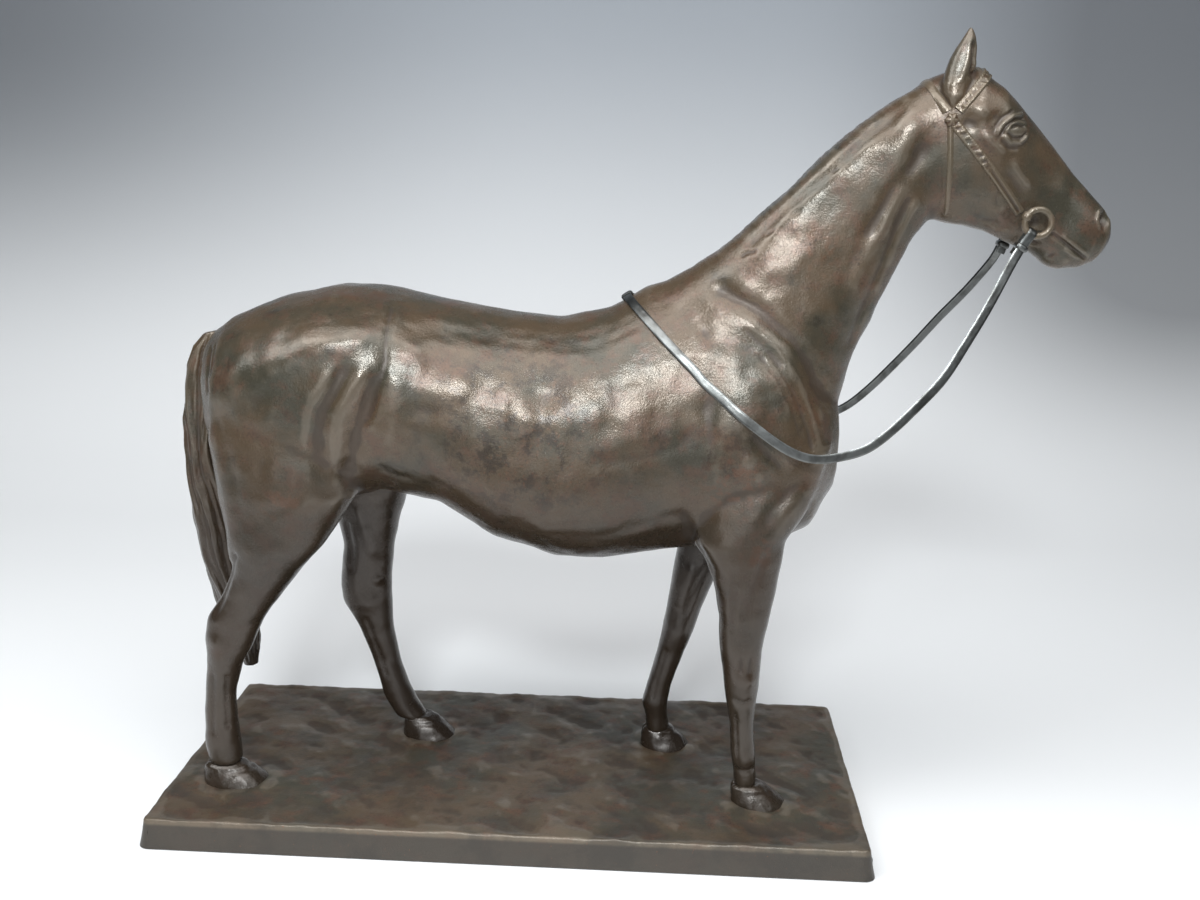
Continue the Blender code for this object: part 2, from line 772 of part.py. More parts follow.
def make_rein(name, table, sign, tree):
    """One rein: a doubled end with an eye round the ring's wire, a free bight, then over the shoulder."""
    x, z = BIT_CENTRE
    ring_middle = Vector((x, sign * BIT_HALF_SPAN, z))
    down = Vector((table[0][0] - x, 0, table[0][1] - z)).normalized()
    wire = ring_middle + down * BIT_RING_RADIUS
    reach = BIT_WIRE_RADIUS + REIN_EYE_GAP
    eye, eye_outs = [], []
    for i in range(9):
        a = math.radians(-90 + 22.5 * i)
        out = -down * math.cos(a) + Vector((0, sign, 0)) * math.sin(a)
        eye.append(wire + out * reach)
        eye_outs.append(out)
    tip = eye[0] + down * REIN_DOUBLED
    first = eye[-1] + down * REIN_DOUBLED
    route = [Vector((px, py, pz)) for px, pz, py in table if pz < first.z - 3]
    path, outs = laid_on(tree, smooth_path([eye[-1], first] + route, REIN_STEP))
    outs[0] = eye_outs[-1]
    top, up = over_withers(tree)
    path.append(top + Vector((0, sign * REIN_END_GAP, 0)))
    outs[-1] = (outs[-1] + up).normalized()
    outs.append(up)
    bm = bmesh.new()
    add_strip(
        bm, [tip] + eye + path[1:], [eye_outs[0]] + eye_outs + outs[1:], REIN_WIDTH, 0.0, REIN_THICKNESS
    )
    finish_object(name, bm, REIN_GREY, REIN_ROUGHNESS, REIN_METALLIC)
    span = 2 * reach + 2 * REIN_THICKNESS
    keeper_middle = wire + down * (REIN_DOUBLED - KEEPER_FROM_END)
    across = Vector((down.z, 0, -down.x))
    make_sleeve("rein_keeper_" + name.split("_")[0], keeper_middle, down, across, REIN_WIDTH, span)


def make_sleeve(name, middle, along, across, width, height):
    """A flat band bent round a strap: a rectangular frame with its hole along the strap."""
    up = along.cross(across)
    rings = []
    bm = bmesh.new()
    for grow in (GAP, GAP + KEEPER_WALL):
        for end in (-1, 1):
            ring = []
            for sx, sy in ((-1, -1), (1, -1), (1, 1), (-1, 1)):
                p = middle + along * end * KEEPER_WIDTH / 2
                p = p + across * sx * (width / 2 + grow) + up * sy * (height / 2 + grow)
                ring.append(bm.verts.new(place(*p)))
            rings.append(ring)
    inner_a, inner_b, outer_a, outer_b = rings
    for one, two in ((inner_a, inner_b), (outer_a, outer_b), (inner_a, outer_a), (inner_b, outer_b)):
        for i in range(4):
            j = (i + 1) % 4
            bm.faces.new((one[i], one[j], two[j], two[i]))
    finish_object(name, bm, REIN_GREY, REIN_ROUGHNESS, REIN_METALLIC)


def make_reins(skin):
    bm = bmesh_of(skin)
    tree = BVHTree.FromBMesh(bm)
    bm.free()
    make_rein("right_rein", RIGHT_REIN, -1, tree)
    make_rein("left_rein", LEFT_REIN, 1, tree)
    top, up = over_withers(tree)
    sideways = Vector((0, 1, 0))
    middle = top + up * REIN_THICKNESS / 2
    make_sleeve("rein_join", middle, sideways, up.cross(sideways), REIN_WIDTH, REIN_THICKNESS)


def make_fixings():
    """Stud, washer and nut at each hoof."""
    ceiling = PLINTH_HEIGHT - PLINTH_WALL
    for leg, (x, y, top) in STUDS.items():
        bm = bmesh.new()
        cylinder(bm, x, y, STUD_FOOT_Z, top, STUD_RADIUS, STUD_SIDES)
        finish_object("stud_" + leg, bm, STEEL, STEEL_ROUGHNESS, 1.0)
        bm = bmesh.new()
        high = ceiling - GAP
        tube(bm, x, y, high - WASHER_THICKNESS, high, WASHER_RADIUS, STUD_HOLE_RADIUS)
        finish_object("washer_" + leg, bm, STEEL, STEEL_ROUGHNESS, 1.0)
        bm = bmesh.new()
        high -= WASHER_THICKNESS + GAP
        tube(bm, x, y, high - NUT_THICKNESS, high, NUT_ACROSS_CORNERS / 2, STUD_HOLE_RADIUS, 6, 12)
        finish_object("nut_" + leg, bm, STEEL, STEEL_ROUGHNESS, 1.0)


def main():
    clear_scene()
    forms = (TRUNK, NECK, HEAD, FORELEG_RIGHT, FORELEG_LEFT, HIND_LEG_RIGHT, HIND_LEG_LEFT)
    body = [(form, 0) for form in forms]
    skin = fuse("skin", body, SKIN_VOXEL, SKIN_TRIANGLES, SKIN_SMOOTHING)
    hollow = [(TRUNK[2:-1], BODY_WALL), (NECK, NECK_WALL), (HEAD[1:-4], HEAD_WALL)]
    core = fuse("core", hollow, CORE_VOXEL, CORE_TRIANGLES, CORE_SMOOTHING)
    skin_clear = grown(skin, "skin_clear", GAP)
    holes = stud_cutter()
    make_plinth(holes)
    make_hooves(skin_clear, holes)
    make_legs(skin, holes)
    make_body_sections(skin, core)
    make_tail(skin_clear)
    make_ears(skin_clear)
    make_bridle(skin_clear)
    make_bit()
    make_reins(skin)
    make_fixings()


main()
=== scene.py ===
"""Bronze horse with a bridle and a loose steel rein, standing on a cast ground plinth.

Places are in millimetres from the middle of the plinth's underside: x towards the head, z up, with
the horse's right side at -y. at() turns them into the row frame's metres.
"""

import math

import bmesh
import bpy
import numpy as np
from mathutils import Matrix, Vector, noise
from mathutils.bvhtree import BVHTree


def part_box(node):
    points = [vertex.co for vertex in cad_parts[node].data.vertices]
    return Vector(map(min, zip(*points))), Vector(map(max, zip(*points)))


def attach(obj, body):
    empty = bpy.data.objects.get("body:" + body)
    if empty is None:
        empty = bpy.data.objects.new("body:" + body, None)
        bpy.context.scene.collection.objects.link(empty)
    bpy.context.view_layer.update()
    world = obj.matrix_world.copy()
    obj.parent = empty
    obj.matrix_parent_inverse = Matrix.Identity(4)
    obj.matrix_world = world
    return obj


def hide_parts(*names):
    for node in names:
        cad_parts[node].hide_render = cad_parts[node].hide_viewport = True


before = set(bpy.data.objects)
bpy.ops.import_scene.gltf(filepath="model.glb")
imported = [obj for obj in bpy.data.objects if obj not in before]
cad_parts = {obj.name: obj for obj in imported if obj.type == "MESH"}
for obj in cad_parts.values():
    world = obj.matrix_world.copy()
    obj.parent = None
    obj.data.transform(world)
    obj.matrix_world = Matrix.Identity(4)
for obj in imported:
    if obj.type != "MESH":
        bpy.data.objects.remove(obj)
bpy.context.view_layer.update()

bl_info = {
    "name": "Bronze Horse",
    "version": (1, 0, 0),
    "blender": (4, 5, 0),
    "location": "3D View > Sidebar > Bronze Horse",
    "description": "A cast bronze horse with bridle, rein and ground plinth",
    "category": "Object",
}

MM = 0.001
PLINTH_LOW, PLINTH_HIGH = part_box("plinth")
MIDDLE_X = (PLINTH_LOW.x + PLINTH_HIGH.x) / 2
ORIGIN = np.array((MIDDLE_X, 0.0, PLINTH_LOW.z))

# Joints of the casting: a point on each plane and its normal
FLANK_JOINT = ((-62, 0, 220), (1, 0, 0))
GIRTH_JOINT = ((66, 0, 220), (1, 0, 0))
SHOULDER_JOINT = ((86, 0, 294), (0.648, 0, 0.762))
POLL_JOINT = ((199, 0, 378), (0.985, 0, 0.174))
FORELEG_JOINT = ((0, 0, 143), (0, 0, 1))
HIND_LEG_JOINT = ((0, 0, 152), (0, 0, 1))
BARREL_LOW = ((0, 0, 120), (0, 0, 1))
EAR_JOINT = ((0, 0, 394.3), (0, 0, 1))
LEG_REACHES = 60.0  # every leg comes below this height
CRUMB = 50  # a loose part of a cut with fewer points than this is thrown away

TURN = 2 * math.pi

# Bit and rein
BIT_CENTRE = (252.3, 320.5)  # x and z of the two rings' common axis
BIT_RING_RADIUS = 6.3
BIT_WIRE_RADIUS = 1.25
BIT_RING_WIRE = 1.65  # the ring is heavier than its bearing wire
BIT_HALF_SPAN = 20.0
REIN_DOUBLED = 12.0  # length of strip folded back behind the eye
REIN_EYE_GAP = 0.35  # between the eye and the ring's wire
REIN_REST_GAP = 0.5  # between the rein and the body that it lies on
REIN_RESTS_FROM = 125.0  # x behind which the rein lies on the body
REIN_LANDS_OVER = 20.0  # length over which it comes down there

# Bridle: each band's middle (x, z), the way it goes round the head, the degrees it starts below level
# and its width
BANDS = {
    "crownpiece": ((205.5, 370.5), (-0.486, 0.874), 0, 5.0),
    "browband": ((209.4, 371.2), (0.63, 0.776), 0, 5.4),
    "throatlatch": ((207.2, 359.5), (0.086, -0.996), -26, 2.9),
}
CHEEKPIECE_FROM, CHEEKPIECE_TO = Vector((206.2, 0, 368.6)), Vector((245.6, 0, 324.0))
CHEEKPIECE_CHASED = 31.0  # length of the cheekpiece with a chased face
STRAP_WIDTH, STRAP_THICKNESS = 5.0, 2.2
KNOT_RADIUS = 3.2

# Plinth
PLINTH_CUTS = (230, 100)  # how finely its top is divided, along and across
PLINTH_WALL = 6.0
PLINTH_HOLLOW = 9.0  # height of the hollow underneath
PLINTH_FLARE = 3.0  # how far the foot stands out past the top's edge
PLINTH_CORNER = 3.0  # rounding of its corners
# Its side from the top down: each step's drop and how far it moves out
PLINTH_SIDE = ((0.35, 0.45), (0.6, 0.3), (1.6, 0.25), (3.2, 0.55), (3.6, 0.7), (3.4, 0.75), (2.25, 0.6))

# Ovals of the castings. Each is a front or top point (x, z), a back or bottom point (x, z), half the
# width, the middle's y, how far up the widest place is, and the roundness of the upper and lower half.
TRUNK = [
    (-167, 249, -167, 214, 9, 0, 0.5, 2.0, 2.0),
    (-161, 256, -161, 188, 27, 0, 0.55, 2.0, 2.0),
    (-150, 264, -150, 168, 42, 0, 0.6, 2.0, 2.0),
    (-134, 271, -134, 159, 50, 0, 0.6, 2.1, 2.1),
    (-115, 277, -115, 160, 54, 0, 0.6, 2.1, 2.2),
    (-92, 282, -92, 168, 55, 0, 0.6, 2.0, 2.2),
    (-70, 281.5, -70, 174, 53, 0, 0.58, 1.9, 2.2),
    (-40, 275.5, -40, 168, 51.5, 0, 0.5, 1.9, 2.2),
    (-11, 270.5, -11, 150, 53.5, 0, 0.45, 1.9, 2.15),
    (22, 267.5, 22, 140.5, 54.5, 0, 0.42, 1.9, 2.1),
    (45, 272.5, 45, 140, 53, 0, 0.42, 1.8, 2.1),
    (66, 284.5, 66, 143, 49, 0, 0.42, 1.7, 2.1),
    (88, 291.5, 88, 146, 46, 0, 0.45, 1.6, 2.1),
    (110, 286, 110, 148, 46, 0, 0.45, 1.75, 2.1),
    (135, 270, 135, 150, 43.5, 0, 0.5, 1.9, 2.1),
    (153, 248, 153, 160, 35.5, 0, 0.52, 2.1, 2.0),
    (165, 229, 165, 182, 19, 0, 0.5, 2.0, 2.0),
]
NECK = [
    (58, 278, 158, 190, 38, 0, 0.45, 1.9, 2.0),
    (85, 293, 166, 228, 31, 0, 0.42, 2.1, 2.0),
    (108, 309, 171, 252, 25, 0, 0.42, 2.5, 2.0),
    (131, 331, 180, 271, 21, 0, 0.42, 2.9, 2.0),
    (151, 351, 188, 291, 19.5, 0, 0.42, 3.0, 2.0),
    (170, 368, 197, 311, 19, 0, 0.46, 2.6, 2.0),
    (187, 380, 204, 320, 18.5, 0, 0.52, 2.1, 2.0),
    (200, 386.5, 212, 322, 18.5, 0, 0.54, 2.2, 2.0),
]
HEAD = [
    (190, 382, 202, 322, 18.5, 0, 0.52, 2.1, 2.0),
    (199, 387.5, 208, 320, 19, 0, 0.54, 2.2, 2.0),
    (208, 391, 214, 318.5, 20.5, 0, 0.58, 2.3, 2.0),
    (221, 392.5, 222, 317.5, 22.5, 0, 0.64, 2.5, 1.9),
    (233, 384, 231, 315.5, 22.5, 0, 0.68, 2.8, 1.9),
    (243, 375, 239, 312, 19.5, 0, 0.66, 2.6, 2.0),
    (252, 366, 246, 309, 17, 0, 0.6, 2.4, 2.0),
    (262, 355.5, 254, 306, 14.5, 0, 0.58, 2.2, 2.2),
    (272, 344, 262, 300.5, 13, 0, 0.5, 2.2, 2.2),
    (281, 335, 270, 297.5, 13, 0, 0.5, 2.3, 2.2),
    (288, 328.5, 279, 298, 12.5, 0, 0.5, 2.3, 2.2),
    (292, 322, 285.5, 301, 10.5, 0, 0.5, 2.3, 2.2),
    (293.3, 316.5, 290, 306, 6, 0, 0.5, 2.0, 2.0),
]
FORELEG_RIGHT = [
    (160, 210, 108, 206, 12, -28),
    (150, 176, 95, 176, 15, -30),
    (139, 160, 92, 158, 16, -31),
    (138, 150, 98, 150, 15, -32),
    (136, 138, 103, 138, 13.5, -33),
    (133, 119, 107, 119, 12, -34),
    (130, 101, 108, 101, 11.5, -34),
    (130, 88, 110, 88, 11, -34),
    (128.5, 74, 112, 74, 9, -34),
    (128, 58, 115, 58, 7.5, -34),
    (129.5, 43, 116, 43, 8, -34),
    (130, 34, 118, 34, 7.6, -34),
    (131, 24, 118.5, 24, 8, -34),
]
FORELEG_LEFT = [
    (150, 206, 105, 206, 12, 28),
    (136, 176, 92, 176, 15, 30),
    (124, 154, 88, 154, 15, 29),
    (114, 136, 86, 136, 13.5, 28),
    (107, 116, 83, 116, 12, 27),
    (101.5, 101, 81, 101, 11.5, 27),
    (97.5, 88, 79, 88, 11, 26),
    (91.5, 72, 76, 72, 8.5, 25),
    (85, 53, 71, 53, 7.5, 24),
    (83, 41, 68, 41, 8, 24),
    (83, 34, 70, 33, 7.6, 24),
    (85, 24, 71, 24, 8, 24),
]
HIND_LEG_RIGHT = [
    (-98, 240, -152, 240, 16, -30),
    (-82, 205, -156, 205, 22, -30),
    (-80, 178, -153, 178, 22, -31),
    (-92, 160, -150, 160, 19, -32),
    (-99, 150, -149, 150, 17.5, -33),
    (-111, 137, -147, 137, 14, -34),
    (-122, 122, -153, 122, 12, -34),
    (-132, 108, -162, 108, 11, -34),
    (-137, 97, -164, 97, 10.5, -34),
    (-145, 82, -164, 84, 9, -34),
    (-150, 66, -165.5, 66, 8, -34),
    (-150, 50, -167, 50, 8, -34),
    (-149, 38, -168, 38, 8.5, -34),
    (-147.5, 25, -165, 25, 8.5, -35),
]
HIND_LEG_LEFT = [
    (-88, 240, -146, 240, 16, 30),
    (-72, 205, -140, 205, 22, 30),
    (-64, 178, -122, 178, 22, 30),
    (-68, 162, -112, 162, 19, 29),
    (-72, 148, -108, 148, 16, 29),
    (-76, 130, -105, 130, 13, 28),
    (-78, 112, -107, 112, 11, 28),
    (-78, 97, -107, 97, 10.5, 28),
    (-77.5, 80, -99, 84, 9, 28),
    (-74, 61, -91, 63, 7.5, 28),
    (-69, 45, -86, 47, 8, 27),
    (-64, 34, -84, 38, 8.5, 27),
    (-57, 24, -76, 26, 8.5, 26),
]
SHEATH = [
    (-68, 192, -68, 184, 5, 0),
    (-60, 190, -61, 179, 7, 0),
    (-50, 190, -51, 180, 6.5, 0),
    (-44, 188, -45, 183, 4, 0),
]
TAIL = [
    (-158, 256, -168, 254, 4.5, 0),
    (-162, 246, -173.5, 247, 7, 0),
    (-163, 234, -177.5, 237, 8.5, 0),
    (-164, 206, -181.5, 208, 9.5, 0),
    (-162, 180, -181.5, 180, 10, 0),
    (-158, 152, -179.5, 150, 10, 0),
    (-153, 124, -174.5, 121, 9, 0),
    (-149, 104, -169, 100, 8, 0),
    (-148, 85, -161, 82, 6, 0),
    (-148.5, 74, -158, 72, 4.5, 0),
    (-149, 66.5, -157, 65.5, 3, 0),
]
EAR = [
    (210, 374, 205, 373.5, 2.0, 5.5),
    (213.5, 379, 203.5, 378, 4.2, 4.5),
    (216, 385, 202.5, 384, 5.6, 2.0),
    (217.3, 391, 203.6, 389.5, 5.4, 0.5),
    (218, 397, 205.6, 395.5, 4.8, 0),
    (217.9, 402, 208, 400.5, 3.8, 0),
    (217, 406, 210.6, 405, 2.6, 0),
    (215.6, 409, 212.6, 408.4, 1.5, 0),
    (214.6, 410.3, 213.4, 410, 0.7, 0),
]
# Each ear: its shift along, middle y and shift up
EAR_PLACES = ((0, -11.5, 0), (4.7, 10.5, -0.6))
# The top line of the neck, where the mane grows: x and z
CREST = ((72, 289), (98, 300), (120, 320), (146, 347), (170, 368), (196, 385))
# Each hoof: middle x and y, length, width, height, and how far the coronet sits back
HOOVES = {
    "foreleg_right": (132, -36, 28, 23, 10.5, 6.5),
    "foreleg_left": (82, 24, 27, 22, 11.5, 4.5),
    "hind_leg_right": (-151, -36, 34, 23, 10.5, 6.5),
    "hind_leg_left": (-57, 25, 29, 23, 12, 5.5),
}
# How a hoof draws in: share of its height, share of its length and width
HOOF_PROFILE = (
    (-0.12, 1.06), (0.0, 1.04), (0.14, 1.0), (0.36, 0.92), (0.56, 0.83), (0.72, 0.75), (0.86, 0.68), (1.0, 0.52)
)

# Modelling strokes, in side view. OUTER is both flanks, NEAR the right one, FAR_INSIDE the inner face
# of the left legs. A stroke has its height, its half width and its run of (x, z) places.
OUTER, NEAR, FAR_INSIDE, ROUND = "outer", "near", "far inside", "round"
BODY_STROKES = [
    # point of the hip and the thigh
    (OUTER, -0.6, 1.8, (-61.5, 276), (-61, 262), (-60.5, 250), (-62, 240)),
    (OUTER, -1.6, 3.8, (-76, 251), (-84, 238), (-91, 226), (-94, 214), (-95, 200)),
    (OUTER, 0.6, 4.0, (-84, 250), (-90, 238), (-98, 225), (-101, 212), (-102, 200)),
    (OUTER, -0.7, 5.5, (-85, 253), (-98, 245), (-110, 237), (-124, 230), (-136, 222)),
    (OUTER, 1.0, 3.4, (-68, 247), (-76, 237), (-83, 223), (-86, 208), (-89, 193), (-88, 180)),
    (OUTER, -1.9, 4.0, (-62, 248), (-65, 240), (-70, 228), (-76, 212), (-79, 200), (-82, 188)),
    (OUTER, 0.5, 4.5, (-55, 248), (-55, 232), (-57, 218), (-62, 204)),
    (OUTER, -0.6, 3.2, (-124, 171), (-114, 174), (-106, 180), (-102, 188)),
    (OUTER, -0.5, 4.0, (-119, 207), (-123, 195), (-122, 184)),
    (OUTER, -0.5, 4.0, (-148, 222), (-143, 205), (-138, 188), (-136, 172)),
    (OUTER, 0.5, 3.5, (-153, 222), (-149, 200), (-144, 178), (-141, 160)),
    (OUTER, 0.4, 4.0, (-88, 196), (-85, 186), (-87, 174), (-93, 165)),
    (OUTER, -0.5, 2.2, (-82, 186), (-84, 176), (-90, 166)),
    (OUTER, -0.8, 1.3, (-155, 252), (-153.5, 240), (-153, 228)),
    (OUTER, -0.5, 1.0, (-151.5, 254), (-150.5, 244), (-151, 236)),
    (NEAR, -1.0, 2.0, (-140, 150), (-146, 136), (-151, 122), (-157, 110)),
    (NEAR, -0.8, 1.4, (-158, 80), (-160, 60), (-161, 42)),
    (NEAR, -0.6, 1.3, (-151, 80), (-153, 62), (-153, 45)),
    (FAR_INSIDE, 0.9, 3.0, (-94, 160), (-88, 140), (-84, 124)),
    (FAR_INSIDE, -0.9, 2.2, (-100, 150), (-98, 132), (-99, 114)),
    (FAR_INSIDE, -0.7, 1.6, (-92, 90), (-86, 70), (-80, 50)),
    # barrel
    (OUTER, -0.8, 5.0, (-50, 265), (-20, 262), (10, 258), (40, 258), (62, 264)),
    (OUTER, -0.6, 4.0, (92, 221), (82, 211), (68, 206), (52, 204), (36, 203)),
    (OUTER, -0.35, 3.4, (92, 177), (84, 174), (72, 171), (60, 167), (48, 163.5), (34, 162), (18, 164)),
    (OUTER, -0.25, 3.0, (84, 164), (74, 160), (60, 156)),
    (OUTER, 0.25, 3.0, (70, 166), (60, 162), (46, 158)),
    (OUTER, -0.35, 3.0, (-44, 192), (-25, 180), (-8, 170), (8, 165)),
    (OUTER, -0.25, 2.4, (-34, 183), (-14, 170), (4, 161), (20, 157)),
    (OUTER, -0.5, 2.2, (-68, 197), (-60, 191), (-48, 189)),
    (OUTER, -0.3, 4.0, (-18, 242), (-24, 218), (-32, 196)),
    (OUTER, -0.3, 4.0, (0, 240), (-5, 214), (-14, 192)),
    (OUTER, -0.3, 4.0, (18, 238), (14, 212), (6, 190)),
    (OUTER, -0.3, 4.0, (36, 236), (33, 212), (26, 190)),
    # shoulder and breast
    (OUTER, -1.9, 4.2, (94, 285), (104, 284), (113, 280), (122, 275), (130, 268), (138, 261), (146, 250),
     (152, 238), (156, 225)),
    (OUTER, 1.2, 6.5, (101, 273), (116, 270), (128, 264), (136, 254), (141, 242), (143, 228)),
    (OUTER, -0.35, 2.2, (118, 268), (128, 259), (134, 247), (137, 234)),
    (OUTER, -0.5, 1.3, (112, 268), (126, 256), (137, 240), (145, 222), (150, 206)),
    (OUTER, 0.45, 1.3, (116, 270), (129, 259), (140, 243), (148, 226), (153, 210)),
    (OUTER, -0.4, 1.2, (120, 256), (130, 245), (138, 230), (143, 214)),
    (OUTER, -0.8, 4.0, (90, 274), (95, 264), (98, 256)),
    (OUTER, -0.5, 3.5, (120, 243), (125, 235), (130, 224)),
    (OUTER, -1.2, 4.5, (96, 240), (97, 222), (100, 206)),
    (OUTER, -1.0, 3.0, (116, 222), (124, 211), (131, 204), (136, 196)),
    (OUTER, -1.0, 4.0, (150, 196), (140, 190), (131, 180), (124, 168)),
    (OUTER, 0.5, 3.0, (146, 186), (137, 178), (131, 166)),
    (OUTER, -0.9, 3.2, (86, 178), (87.5, 170), (89.5, 164), (95, 156), (101, 146), (102, 138)),
    (OUTER, 0.5, 2.8, (91, 180), (92.5, 172), (94.5, 166), (99.5, 157), (105, 147)),
    # forearm, knee and cannon
    (NEAR, -0.6, 2.0, (129, 158), (123, 140), (118, 120)),
    (NEAR, -0.4, 1.5, (113, 150), (113, 130), (113, 112)),
    (NEAR, -0.9, 0.9, (118.5, 101), (118.8, 91)),
    (NEAR, -0.9, 0.9, (123.5, 101), (123.5, 90)),
    (NEAR, -0.5, 1.6, (115, 76.5), (121, 74.5), (128, 76.5)),
    (NEAR, -0.7, 1.2, (117, 70), (119, 50), (120, 37)),
    (NEAR, -0.9, 1.6, (116, 36), (123, 35), (131, 36.5)),
    (FAR_INSIDE, -0.7, 2.0, (104, 130), (96, 112), (90, 96)),
    (FAR_INSIDE, 0.8, 2.5, (95, 130), (90, 114), (87, 100)),
    (FAR_INSIDE, -0.6, 1.3, (82, 78), (77, 60), (74, 44)),
    # neck
    (OUTER, -1.7, 4.0, (199, 360), (190, 345), (182, 332), (176, 320), (170, 308)),
    (OUTER, -1.1, 2.8, (192, 335), (186, 318), (181, 300), (176, 285), (171, 270), (167, 255)),
    (OUTER, 1.0, 3.6, (190, 347), (184, 332), (177, 314), (170, 298), (164, 282)),
    (OUTER, 0.7, 2.2, (196, 332), (188, 314), (183, 300), (177, 283)),
    (OUTER, -0.9, 2.6, (188, 375), (170, 360), (150, 341), (130, 323), (112, 304)),
    (OUTER, -0.8, 0.9, (110, 301), (114, 303.5), (119, 304)),
    (OUTER, -0.6, 0.9, (122, 311.5), (127, 315)),
    (OUTER, -0.5, 0.9, (134, 321), (139, 325)),
    (OUTER, -0.5, 0.8, (152, 342), (157, 345)),
]
# A mound or hollow: its height, middle x and z, half sizes along and across, and its turn in degrees
BODY_MOUNDS = [
    (OUTER, 2.2, -77, 260, 17, 7.5, 12),
    (OUTER, 2.0, -112, 249, 30, 11, 28),
    (OUTER, 1.6, -141, 232, 14, 16, 0),
    (OUTER, -1.8, -67.5, 229, 4, 8, -15),
    (OUTER, -1.3, -71, 207, 8, 10, 0),
    (OUTER, -1.0, -46, 206, 12, 12, 0),
    (OUTER, 0.9, -112, 190, 14, 14, 0),
    (NEAR, 1.1, -155, 97, 3.5, 4, 0),
    (NEAR, 0.9, -155, 87, 5, 6, 0),
    (NEAR, 0.9, -126, 148, 12, 14, 20),
    (FAR_INSIDE, 1.2, -84, 112, 2.6, 3, 0),
    (FAR_INSIDE, 0.8, -90, 100, 5, 6, 0),
    (OUTER, 1.1, -49, 254, 11, 5.5, -18),
    (OUTER, 1.0, -27, 236, 9, 7, 0),
    (OUTER, -0.7, -41, 226, 7, 5, 0),
    (OUTER, 1.3, 34, 226, 15, 10, 5),
    (OUTER, 1.1, 4, 226, 11, 10, 0),
    (OUTER, 0.9, 60, 228, 9, 10, 0),
    (OUTER, -0.8, 18, 236, 8, 12, 0),
    (OUTER, 0.9, 62, 215, 14, 6, 15),
    (OUTER, -0.7, 58, 243, 9, 6, 0),
    (OUTER, -0.5, 5, 243, 10, 7, 0),
    (OUTER, 1.2, 112, 222, 12, 14, -30),
    (OUTER, 2.2, 123, 246, 15, 19, -35),
    (OUTER, 0.9, 101, 197, 5, 15, 0),
    (OUTER, 1.1, 117, 204, 4.5, 5, 0),
    (OUTER, 0.9, 123, 195, 4, 5, 0),
    (OUTER, -1.1, 112, 187, 12, 7, 10),
    (OUTER, 0.9, 158, 214, 8, 12, 0),
    (OUTER, -0.6, 84, 160, 9, 6, 0),
    (OUTER, 1.3, 92, 262, 13, 10, 40),
    (OUTER, 2.4, 187, 360, 7, 15, -25),
    (OUTER, -0.9, 152, 326, 12, 24, -42),
    (OUTER, 0.9, 128, 296, 11, 9, -30),
    (OUTER, 1.0, 148, 280, 12, 15, 0),
    (NEAR, 1.1, 121, 86, 6, 8, 0),
    (NEAR, 0.7, 124, 87, 1.6, 1.8, 0),
    (NEAR, 0.7, 123, 41, 7, 5, 0),
    (FAR_INSIDE, 1.0, 88, 88, 6, 8, 0),
    (FAR_INSIDE, 0.7, 76, 42, 7, 5, 0),
]
HEAD_STROKES = [
    (OUTER, 0.5, 2.2, (206, 323), (222, 320), (236, 317.5), (246, 314)),
    (OUTER, 1.0, 2.3, (221, 363), (227, 357), (234, 352)),
    (OUTER, 0.9, 2.2, (235.5, 350.5), (242, 343), (249, 336)),
    (OUTER, -0.5, 2.4, (233, 346), (240, 338), (247, 331)),
    (OUTER, 1.1, 0.9, (227.5, 360.5), (230.5, 366), (235.5, 370), (241.5, 371.2)),
    (OUTER, -0.6, 0.8, (226.5, 364), (230, 369), (236, 373)),
    (OUTER, -0.9, 0.7, (229.5, 360.5), (232.5, 365.5), (237, 368.4), (242.3, 369)),
    (OUTER, 0.6, 0.6, (231.5, 362), (234.5, 366.3), (238.5, 367.7), (243, 366.5)),
    (OUTER, -1.2, 0.6, (234.2, 364.2), (237.5, 366), (242.3, 365)),
    (OUTER, 0.9, 0.8, (231.5, 361), (235, 357.8), (240, 357.8), (244, 361.5)),
    (OUTER, -0.8, 0.6, (232.8, 362.5), (236, 360), (240.5, 360), (243.6, 363)),
    (OUTER, -0.5, 1.0, (230, 359), (234, 355.3), (240, 355)),
    (OUTER, 0.8, 1.0, (284.6, 328), (282.8, 322.5), (285, 317)),
    (OUTER, 0.5, 0.9, (288, 328.5), (291, 323.5), (289.5, 318)),
    (OUTER, -1.0, 0.8, (261, 316), (267, 312), (273.5, 307.5), (281, 302.5)),
    (OUTER, 0.6, 1.2, (266, 315), (273, 310), (280, 305.5)),
    (OUTER, 0.6, 1.0, (268, 308.5), (277, 302.8)),
    (OUTER, -0.7, 1.3, (261, 302.5), (266, 306)),
    (OUTER, -0.6, 1.5, (226, 322), (234, 320), (240, 316)),
    (OUTER, 0.4, 1.5, (261, 352), (270, 343), (279, 334)),
    (OUTER, -0.4, 1.6, (236, 341), (232, 333), (234, 325)),
    (OUTER, -2.2, 1.7, (215.5, 386), (216.8, 393), (216.6, 400), (215.6, 405)),
    (OUTER, 0.6, 1.2, (209.5, 384), (212.6, 393), (214, 401), (214.4, 406)),
    (OUTER, -0.8, 1.2, (198, 384), (204, 377), (207, 372)),
    (ROUND, 1.0, 2.2, (214, 392), (220, 393.5), (227, 390)),
]
